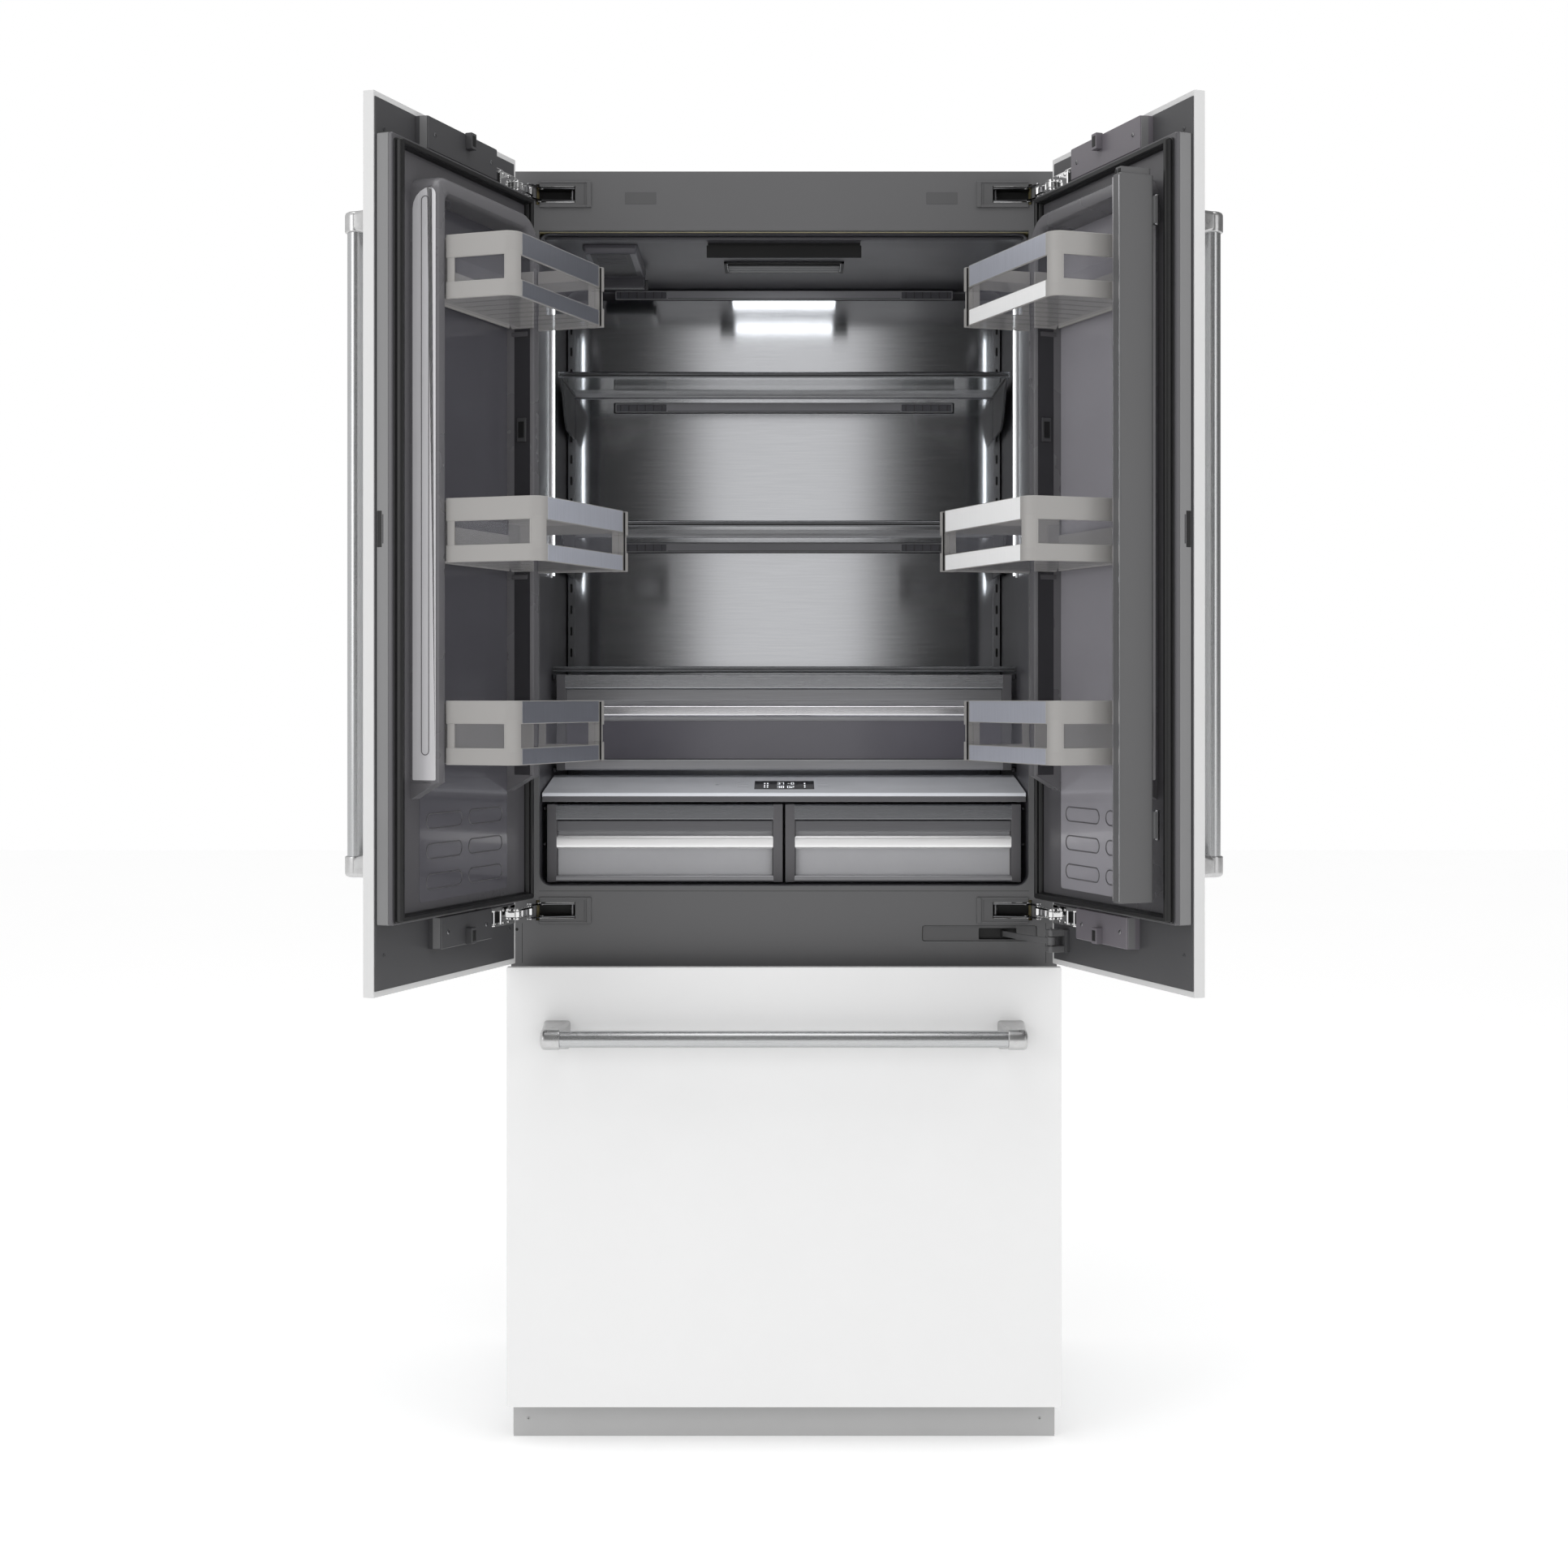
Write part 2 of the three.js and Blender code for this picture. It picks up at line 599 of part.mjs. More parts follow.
// A tub with a broad band around its top and its bottom; its rear part sits between the lips.
function doorBin(depth, floor) {
  const wall = 3;
  const top = floor + BIN_HEIGHT;
  const corner = 22;
  const wide = roundedRect(-385, -79, LIP_DEPTH + 1.5, depth, [0, 0, corner, corner]);
  const bowl = planSolid(wide, floor, top, 5).add(block(-363, -86, -10, LIP_DEPTH + 3, floor, top));
  const hollow = planSolid(roundedRect(-385 + wall, -79 - wall, LIP_DEPTH + 4.5, depth - wall,
    [0, 0, corner - wall, corner - wall]), floor + wall, top + 5, 5)
    .add(block(-363 + wall, -86 - wall, -7, LIP_DEPTH + 6, floor + wall, top + 5));
  // the band between the two bars of the frame stands back from them
  const band = { z0: floor + 27, z1: top - 34 };
  const recess = planSolid(roundedRect(-395, -69, LIP_DEPTH + 20, depth + 10, 0), band.z0, band.z1)
    .subtract(planSolid(roundedRect(-384, -80, LIP_DEPTH - 10, depth - 1, [0, 0, corner - 1, corner - 1]),
      band.z0 - 5, band.z1 + 5, 5));
  return bowl.subtract(hollow).subtract(recess);
}

function addDoors() {
  addToDoors("door_panel", doorPanel(), MATTE_WHITE);
  addToDoor("left", "left_mounting_plate", mountingPlate("left"), DARK_PLASTIC);
  addToDoor("right", "right_mounting_plate", mountingPlate("right"), DARK_PLASTIC);
  addToDoors("inner_door", innerDoor(), LINER_GREY);
  addToDoors("door_gasket", ringGasket(-437, -10, DOOR_BODY_BOTTOM + 2.5, DOOR_BODY_TOP - 7, 12,
    DOOR_BODY_BACK + GAP, GASKET_BACK), RUBBER);
  addToDoors("door_handle", doorHandle(), STEEL);
  ["upper", "middle", "lower"].forEach((level, i) => {
    addToDoors(`${level}_door_bin`, doorBin(BIN_DEPTHS[i], BIN_FLOORS[i]), BIN_GREY);
  });
}

// ---- mullion flap and cable arm, on the right door; drawn as if it were on the left ----
const FLAP_PIVOT = [-33, 1];
const CABLE_PIN = [-401, -16];
const CABLE_REACH = 127.6;
const CABLE_REST = 168.6; // degrees, seen in the closed door

// Folded flat against the raised lip, as it stands while the door is open.
function mullionFlap() {
  const x0 = -54.5;
  const x1 = x0 + 22;
  const leaf = planSolid(roundedRect(x0, x1, 6, 62, 4), 918, 1970, 3);
  const cap = block(x0 + 3, x1 - 3, 9, 59, 1969, 1980)
    .subtract(block(x0 + 8, x1 - 8, 22, 40, 1972, 1990));
  let flap = leaf.add(cap);
  for (const z of [1010, 1900]) {
    flap = flap.add(block(x1 - 9, FLAP_PIVOT[0] + 4, -1, 8, z, z + 40));
  }
  return flap;
}

function cableArm() {
  const angle = THREE.MathUtils.degToRad(CABLE_REST);
  const [x, y] = CABLE_PIN;
  // a shallow bow from the pin to the tip
  const rise = 12;
  const path = new THREE.QuadraticBezierCurve(
    new THREE.Vector2(0, 0),
    new THREE.Vector2(CABLE_REACH / 2, -rise),
    new THREE.Vector2(CABLE_REACH, 0),
  );
  const middle = path.getPoints(8);
  const half = 2.6;
  const upper = middle.map((p) => [p.x, p.y + half]);
  const lower = middle.map((p) => [p.x, p.y - half]).reverse();
  const bow = swept(outline([...lower, ...upper]), PLAN, 10).translate(0, 0, 819);
  const arm = solidOf(bow.rotateZ(angle).translate(x, y, 0));
  const tipX = x + CABLE_REACH * Math.cos(angle);
  const tipY = y + CABLE_REACH * Math.sin(angle);
  return joined(arm, upright(x, y, 7.5, 817, 831, 14), upright(tipX, tipY, 4, 818, 830, 12))
    .subtract(upright(x, y, 3.4, 800, 850, 10));
}

function addDoorMechanisms() {
  addToDoor("right", "mullion_flap", mullionFlap(), PAINTED_GREY);
  addToDoor("right", "cable_arm", cableArm(), PAINTED_GREY);
}

// ---- shelves and drawers of the fridge compartment ----
function shelf(top) {
  const half = 393;
  const glass = block(4 - half, half - 4, SHELF_FRONT + 6, 456, top - 7, top - 2);
  const frontTrim = block(-half, half, SHELF_FRONT, SHELF_FRONT + 8, top - 10, top);
  const rearTrim = block(-half, half, 450, 458, top - 10, top + 4);
  const bracket = sideSolid(outline([
    [SHELF_FRONT, top - 10], [SHELF_FRONT + 50, top - 24], [290, top - 66], [330, top - 86],
    [462, top - 86], [462, top], [SHELF_FRONT, top],
  ]), -half, 5 - half);
  return joined(glass, frontTrim, rearTrim, bothSides(bracket));
}

// A tub that is open at the top, hung on a front with two rails.
function drawer(x0, x1, z0, z1, front, back, tubTop) {
  const wall = 2.5;
  const thickness = 14;
  const tub = block(x0 + 6, x1 - 6, front + thickness - 1, back, z0 + 3, tubTop)
    .subtract(block(x0 + 6 + wall, x1 - 6 - wall, front + thickness + 1, back - wall, z0 + 3 + wall,
      tubTop + 20));
  let face = block(x0, x1, front, front + thickness, z0, z1);
  const height = z1 - z0;
  const stile = 20;
  // recessed window between the stiles, below the rails
  face = face.subtract(block(x0 + stile, x1 - stile, front - 5, front + 9, z0 + 0.09 * height,
    z0 + 0.38 * height));
  face = face.subtract(block(x0 + stile, x1 - stile, front - 5, front + 9, z0 + 0.59 * height,
    z0 + 0.66 * height));
  return tub.add(face);
}

function addFridgeInterior() {
  addPiece("upper_shelf", shelf(SHELF_TOPS[0]), GLASS);
  addPiece("lower_shelf", shelf(SHELF_TOPS[1]), GLASS);
  addPiece("deli_drawer", drawer(-396, 396, 1088, 1255, 190, 452, 1235), CLEAR_PLASTIC);
  addPair("crisper", drawer(-396, -2, 906, 1036.5, 38, 432, 1010), CLEAR_PLASTIC);
}

// ---- freezer drawer ----
function freezerInnerDoor() {
  const body = block(-437, 437, PANEL_BACK + GAP, DOOR_BODY_BACK, 100, 752);
  return body.add(block(-380, 380, DOOR_BODY_BACK - 1, 30, 140, 700));
}

function openTray(x0, x1, y0, y1, z0, z1, wall) {
  return block(x0, x1, y0, y1, z0, z1)
    .subtract(block(x0 + wall, x1 - wall, y0 + wall, y1 - wall, z0 + wall, z1 + 20));
}

function addFreezerDrawer() {
  addPiece("freezer_panel", frontSolid(roundedRect(-HALF_WIDTH, HALF_WIDTH, 61, 776, 1.5),
    PANEL_FRONT, PANEL_BACK, 2), MATTE_WHITE);
  addPiece("freezer_inner_door", freezerInnerDoor(), LINER_GREY);
  addPiece("freezer_gasket", ringGasket(-432, 432, 104, 746, 12, DOOR_BODY_BACK + GAP,
    GASKET_BACK), RUBBER);
  addPiece("freezer_handle", handle(390, 667, PANEL_FRONT), STEEL);
  addPiece("freezer_basket", openTray(-370, 370, 31, 290, 130, 400, 3), WHITE_PLASTIC);
  addPiece("freezer_tray", openTray(-375, 375, 36, 436, 470, 600, 3), WHITE_PLASTIC);
  addPair("freezer_runner", block(-398, -384, 31, 440, 425, 455), STEEL);
}

addCabinet();
addBase();
addHinges();
addDoors();
addDoorMechanisms();
addFridgeInterior();
addFreezerDrawer();

export default refrigerator;
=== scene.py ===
import math

import bmesh
import bpy
from mathutils import Matrix, Vector


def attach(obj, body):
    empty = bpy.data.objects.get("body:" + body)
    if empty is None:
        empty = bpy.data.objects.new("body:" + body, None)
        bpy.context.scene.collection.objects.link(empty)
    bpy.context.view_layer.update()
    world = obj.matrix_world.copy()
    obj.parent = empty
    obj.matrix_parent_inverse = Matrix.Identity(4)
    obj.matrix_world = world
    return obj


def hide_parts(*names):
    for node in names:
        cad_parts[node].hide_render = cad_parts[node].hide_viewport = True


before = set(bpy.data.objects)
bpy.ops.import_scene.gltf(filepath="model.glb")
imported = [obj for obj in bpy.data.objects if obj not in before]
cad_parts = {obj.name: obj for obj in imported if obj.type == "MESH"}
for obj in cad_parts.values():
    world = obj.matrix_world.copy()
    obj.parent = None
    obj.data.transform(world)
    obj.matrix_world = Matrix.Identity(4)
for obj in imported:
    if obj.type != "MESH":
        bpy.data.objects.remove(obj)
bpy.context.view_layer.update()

# ---- dimensions shared with the CAD model, in millimetres ----
PIVOT = (446, -50)          # axis of the left door's swing, mirrored for the right door
OPEN = 110                  # degrees at rest
HINGES = {"upper": 2046, "lower": 863}      # hinge heights
BINS = {"upper": (146, 1796), "middle": (187, 1411), "lower": (146, 1115)}      # depth and floor
BIN_HEIGHT = 95
SHELVES = {"upper_shelf": 1782, "lower_shelf": 1523}
SIDES = ("left", "right")
HALF_CAVITY = 405           # half the inner width of the fridge and the freezer
FACE = -61                  # front of the closed panels
LINK_PIN = (-418, -20)      # axis of the hinge links
ARM_PIN = (-401, -16)       # axis of the cable arm
TURN = 2 * math.pi

MIRROR = Matrix.Diagonal((-1, 1, 1, 1))


def door_place(side):
    """From a point of the closed left door to its place on either open door."""
    sign = -1 if side == "left" else 1
    pivot = Vector((sign * PIVOT[0], PIVOT[1], 0))
    turn = (Matrix.Translation(pivot) @ Matrix.Rotation(math.radians(sign * OPEN), 4, "Z")
            @ Matrix.Translation(-pivot))
    return turn if side == "left" else turn @ MIRROR


def fixed_place(side):
    return Matrix.Identity(4) if side == "left" else MIRROR


# ---- materials ----
def linear(hexcode):
    value = int(hexcode, 16)
    out = []
    for shift in (16, 8, 0):
        c = ((value >> shift) & 255) / 255
        out.append(c / 12.92 if c <= 0.04045 else ((c + 0.055) / 1.055) ** 2.4)
    return tuple(out)


def feed(tree, node, **inputs):
    """Sets or links the inputs of a node; _ stands for a space in their names."""
    for key, value in inputs.items():
        socket = node.inputs[key.replace("_", " ")]
        if isinstance(value, bpy.types.NodeSocket):
            tree.links.new(value, socket)
        else:
            socket.default_value = value
    return node


def add(tree, kind, **inputs):
    return feed(tree, tree.nodes.new("ShaderNode" + kind), **inputs)


def material(name, hexcode, rough, metal=0.0, vary=0.06, grain=(1, 1, 1), scale=60, bump=0.06,
             fine=900, spread=0.08, edge=0.0, **sockets):
    """A finish whose colour, gloss and surface all vary a little. grain stretches the pattern."""
    m = bpy.data.materials.new(name)
    m.use_nodes = True
    tree = m.node_tree
    where = add(tree, "Mapping", Vector=add(tree, "TexCoord").outputs["Object"], Scale=grain).outputs["Vector"]
    broad = add(tree, "TexNoise", Vector=where, Scale=scale, Detail=4).outputs["Fac"]
    close = add(tree, "TexNoise", Vector=where, Scale=fine, Detail=2).outputs["Fac"]
    colour = linear(hexcode)
    ramp = add(tree, "ValToRGB", Fac=broad)
    for element, at, shade in zip(ramp.color_ramp.elements, (0.3, 0.7), (1 - vary, 1 + vary)):
        element.position = at
        element.color = (*[min(1, c * shade) for c in colour], 1)
    paint = ramp.outputs["Color"]
    if edge:
        # painted highlight: convex edges are painted lighter, standing in for light caught on their rounding
        edge_highlight_mask = add(tree, "MapRange", Value=add(tree, "NewGeometry").outputs["Pointiness"],
                     From_Min=0.52, From_Max=0.62)
        edge_highlight_mix = add(tree, "Mix")
        edge_highlight_mix.data_type = "RGBA"      # its colour sockets are 6, 7 and output 2
        tree.links.new(edge_highlight_mask.outputs["Result"], edge_highlight_mix.inputs[0])
        tree.links.new(paint, edge_highlight_mix.inputs[6])
        edge_highlight_mix.inputs[7].default_value = (*[min(1, c * (1 + edge)) for c in colour], 1)
        paint = edge_highlight_mix.outputs[2]
    gloss = add(tree, "MapRange", Value=broad, To_Min=max(0.02, rough - spread), To_Max=rough + spread)
    relief = add(tree, "Bump", Height=close, Strength=bump, Distance=0.0004)
    feed(tree, tree.nodes["Principled BSDF"], Metallic=metal, Base_Color=paint,
         Roughness=gloss.outputs["Result"], Normal=relief.outputs["Normal"], **sockets)
    return m


def plastic(name, hexcode, rough, vary, scale, fine, bump, **more):
    return material(name, hexcode, rough, vary=vary, scale=scale, fine=fine, bump=bump, **more)


def brushed(name, hexcode, rough, axis, bump=0.05, metal=1.0):
    """Steel with fine scratches along one axis."""
    grain = {"x": (0.02, 1, 1), "z": (1, 1, 0.02)}[axis]
    return material(name, hexcode, rough, metal=metal, grain=grain, scale=700, fine=2600,
                    bump=bump, vary=0.05, spread=0.05)


WHITE = plastic("white_lacquer", "EBEBEB", 0.42, 0.006, 9, 1500, 0.05, spread=0.04)
# the panels' edge faces in a darker grey: painted shade where less light falls on them
WHITE_EDGE_PAINTED_SHADE = plastic("white_edge_painted_shade", "D6D6D6", 0.5, 0.01, 20, 1500, 0.08)
BACKING = plastic("backing_sheet", "454547", 0.46, 0.04, 8, 1300, 0.12)
# edge= paints lighter convex edges on these plastics: a painted highlight
FRAME = plastic("frame_plastic", "575758", 0.42, 0.035, 6, 1400, 0.16, edge=0.25)
DOOR = plastic("door_plastic", "504F52", 0.3, 0.04, 5, 1500, 0.08, edge=0.3)
LINER = plastic("liner_plastic", "414045", 0.36, 0.04, 5, 1200, 0.05, edge=0.15)
# a lighter lilac grey copy of the backing for the right door's hanger covers: painted reflection
COVER_PAINTED_REFLECTION = plastic("hanger_cover_painted_reflection", "6D696F", 0.36, 0.03, 7, 1500, 0.08)
# a much lighter copy of the door field for the right door: painted reflection
DOOR_FIELD_PAINTED_REFLECTION = plastic("right_field_painted_reflection", "97959B", 0.18, 0.04, 5, 1500, 0.02, Coat_Weight=0.4)
# pure white for some bin strips: painted highlight
BIN_PAINTED_HIGHLIGHT = brushed("band_metal_painted_highlight", "FFFFFF", 0.3, "z", metal=0.05)
# a light grey for the lip's free-side face: painted light where it faces the front light
LIP_PAINTED_LIGHT = material("lip_side_painted_light", "D6D5D8", 0.3, vary=0.05, grain=(1, 1, 0.1), scale=40, fine=900, bump=0.05)
# a dark grey for the hinge-side lip's inner wall: painted shade
LIP_PAINTED_SHADE = plastic("lip_wall_painted_shade", "333236", 0.5, 0.03, 7, 1500, 0.05)
LIP = plastic("lip_plastic", "6A696C", 0.28, 0.03, 7, 1500, 0.06)
RUBBER = plastic("gasket_rubber", "111112", 0.42, 0.15, 40, 700, 0.3)
BLACK = material("black_plastic", "0A0A0B", 0.5, vary=0.2, scale=30, bump=0.1)
CHROME = material("bright_chrome", "F0F0F0", 0.05, metal=1.0, vary=0.03, scale=30, fine=400, bump=0.05, spread=0.02)
CHROME_SHADED = material("shaded_chrome", "6C6C6E", 0.14, metal=1.0, vary=0.04, scale=30, fine=400, bump=0.05)
STEEL_DARK = material("zinc_plate", "8E8E90", 0.32, metal=1.0, vary=0.08, scale=60, fine=500, bump=0.12)
BAR = brushed("handle_bar_upright", "BCBDBE", 0.27, "z")
BAR_LEVEL = brushed("handle_bar_level", "BCBDBE", 0.27, "x")
CAST = material("handle_casting", "C6C6C6", 0.3, metal=1.0, vary=0.05, scale=120, fine=1200, bump=0.18)
BIN = plastic("bin_plastic", "989694", 0.46, 0.02, 12, 1500, 0.12, edge=0.12)
BIN_METAL = brushed("bin_band_metal", "A6A9B3", 0.3, "z", metal=0.75)
TRIM = brushed("level_trim_metal", "7C7D80", 0.26, "x")
TRIM_FOOT = brushed("foot_rail_metal", "A8A8AB", 0.3, "x", metal=0.8)
TRIM_DELI = brushed("deli_rail_metal", "ACADB0", 0.26, "x", metal=0.9)
# a lighter copy of the bin strip metal: painted light
BIN_METAL_PAINTED_LIGHT = brushed("band_metal_painted_light", "CDD0DB", 0.32, "z", metal=0.5)
# a darker copy of the level metal for set-back and rear trims: painted shade
TRIM_PAINTED_SHADE = brushed("level_metal_painted_shade", "9E9EA1", 0.3, "x", metal=0.85)
TRIM_SHADE = brushed("shaded_level_metal", "727275", 0.3, "x", metal=0.85)
# a lighter copy of the level metal: painted highlight
TRIM_PAINTED_HIGHLIGHT = brushed("level_metal_painted_highlight", "E6E5E8", 0.2, "x", metal=0.9)
TRIM_LIT = brushed("lit_level_metal", "FFFEFF", 0.24, "x", metal=0.6)
WALL = material("rear_wall_steel", "C4C5C8", 0.095, metal=1.0, grain=(0.03, 1, 1), scale=420, fine=1600,
                bump=0.006, vary=0.03, spread=0.012, Anisotropic=0.8, Anisotropic_Rotation=0.25)
along = WALL.node_tree.nodes.new("ShaderNodeTangent")     # brushed from side to side
along.direction_type = "RADIAL"
along.axis = "Z"
feed(WALL.node_tree, WALL.node_tree.nodes["Principled BSDF"], Tangent=along.outputs["Tangent"])
# a lighter copy of the door plastic for faces turned to the front light: painted light
DOOR_SIDE_PAINTED_LIGHT = plastic("door_side_painted_light", "7C7C7D", 0.36, 0.03, 7, 1500, 0.08)
DOOR_FIELD = plastic("door_field_plastic", "57565C", 0.12, 0.04, 5, 1500, 0.02, Coat_Weight=0.4)
FRAME_CAP = plastic("cap_plastic", "565657", 0.4, 0.03, 6, 1400, 0.16)
DUCT_BAR = plastic("duct_bar", "8A898D", 0.3, 0.05, 6, 1500, 0.03)
LINER_LIGHT = plastic("housing_plastic", "59585E", 0.3, 0.04, 7, 1300, 0.06)
STILE = plastic("drawer_stile", "5E5D60", 0.34, 0.03, 8, 1400, 0.1)
ICON = material("panel_icons", "C9CCD2", 0.3, vary=0.03, scale=30, bump=0.02)
TRIM_UP = brushed("upright_trim_metal", "D4D5D8", 0.2, "z")
SMOKE_PANEL = material("smoky_panel", "626068", 0.12, vary=0.05, scale=9, bump=0.02, Coat_Weight=0.5)
SMOKE = material("smoky_clear", "8A8A92", 0.06, vary=0.03, scale=14, bump=0.01, Alpha=0.09, Coat_Weight=0.15)
CLEAR = material("clear_tub", "F0F0F4", 0.1, vary=0.02, scale=14, bump=0.002, Alpha=0.42, Coat_Weight=0.3)
GLASS = material("shelf_glass", "A9B4B4", 0.04, vary=0.02, scale=10, bump=0.005, Alpha=0.24, Coat_Weight=1.0)
PANEL_GLASS = material("control_glass", "EEF0F6", 0.22, vary=0.03, scale=7, bump=0.004)
DISPLAY = material("display_black", "050507", 0.08, vary=0.2, scale=30, bump=0.01)
KICK = plastic("kick_paint", "B4B4B4", 0.42, 0.015, 10, 1200, 0.08)
CABINET = plastic("cabinet_paint", "A4A6A8", 0.45, 0.02, 10, 900, 0.2)
GALVANISED = material("galvanised_sheet", "A2A5A8", 0.4, metal=0.9, vary=0.14, scale=45, fine=600, bump=0.1,
                      spread=0.14)
ALU = material("aluminium_fins", "C3C6C9", 0.35, metal=1.0, grain=(1, 1, 0.15), scale=300, vary=0.1, bump=0.3)
COMPRESSOR = plastic("black_enamel", "17181A", 0.34, 0.12, 40, 700, 0.2)
COPPER = material("copper_pipe", "B5714A", 0.28, metal=1.0, vary=0.12, scale=60, bump=0.1)
TRAY = plastic("white_moulding", "F0F1F3", 0.4, 0.01, 12, 1300, 0.12)
FOAM = plastic("insulation_foam", "D9CFA6", 0.9, 0.08, 120, 700, 0.6)


def lamp_material(name, colour, strength):
    """A lit diffuser, a little uneven over its length."""
    m = material(name, "F4F8FF", 0.4, vary=0.01, scale=20, bump=0.02)
    tree = m.node_tree
    dots = add(tree, "TexNoise", Vector=add(tree, "TexCoord").outputs["Object"], Scale=35)
    level = add(tree, "MapRange", Value=dots.outputs["Fac"], To_Min=strength * 0.85, To_Max=strength * 1.15)
    feed(tree, tree.nodes["Principled BSDF"], Emission_Strength=level.outputs["Result"],
         Emission_Color=(*colour, 1))
    return m


LED = lamp_material("led_strip", (0.93, 0.97, 1.0), 5)
LAMP = lamp_material("ceiling_light", (0.96, 0.98, 1.0), 3.4)
GLOW = lamp_material("display_figures", (0.95, 0.97, 1.0), 1.6)


# ---- geometry ----
def rounded(a0, a1, b0, b1, r, n=6):
    """Points of a rectangle with rounded corners, anticlockwise from the lower left."""
    radii = r if isinstance(r, (list, tuple)) else (r, r, r, r)
    centres = ((a0, b0, 1, 1), (a1, b0, -1, 1), (a1, b1, -1, -1), (a0, b1, 1, -1))
    points = []
    for i, ((a, b, sa, sb), radius) in enumerate(zip(centres, radii)):
        if radius <= 0:
            points.append((a, b))
            continue
        ca, cb = a + sa * radius, b + sb * radius
        start = math.pi * (1 + 0.5 * i)
        for k in range(n + 1):
            t = start + 0.5 * math.pi * k / n
            points.append((ca + radius * math.cos(t), cb + radius * math.sin(t)))
    return points


def circle(a, b, r, n=24):
    return [(a + r * math.cos(TURN * k / n), b + r * math.sin(TURN * k / n)) for k in range(n)]


def swung(centre, angle, u, v):
    """The point (u, v) of a link, in plan, once the link is turned about its pin."""
    return (centre[0] + u * math.cos(angle) - v * math.sin(angle),
            centre[1] + u * math.sin(angle) + v * math.cos(angle))


def lift(point, axis, height):
    a, b = point
    return {"x": (height, a, b), "y": (a, height, b), "z": (a, b, height)}[axis]


def level_loops(a0, a1, b0, b1, r, n, axis, levels):
    """Rounded rectangles at (inset, height) or (inset of a, inset of b, height); r may depend on the inset."""
    loops = []
    for *inset, height in levels:
        d, e = inset[0], inset[-1]
        outline = rounded(a0 + d, a1 - d, b0 + e, b1 - e, r(d) if callable(r) else r, n)
        loops.append([lift(p, axis, height) for p in outline])
    return loops


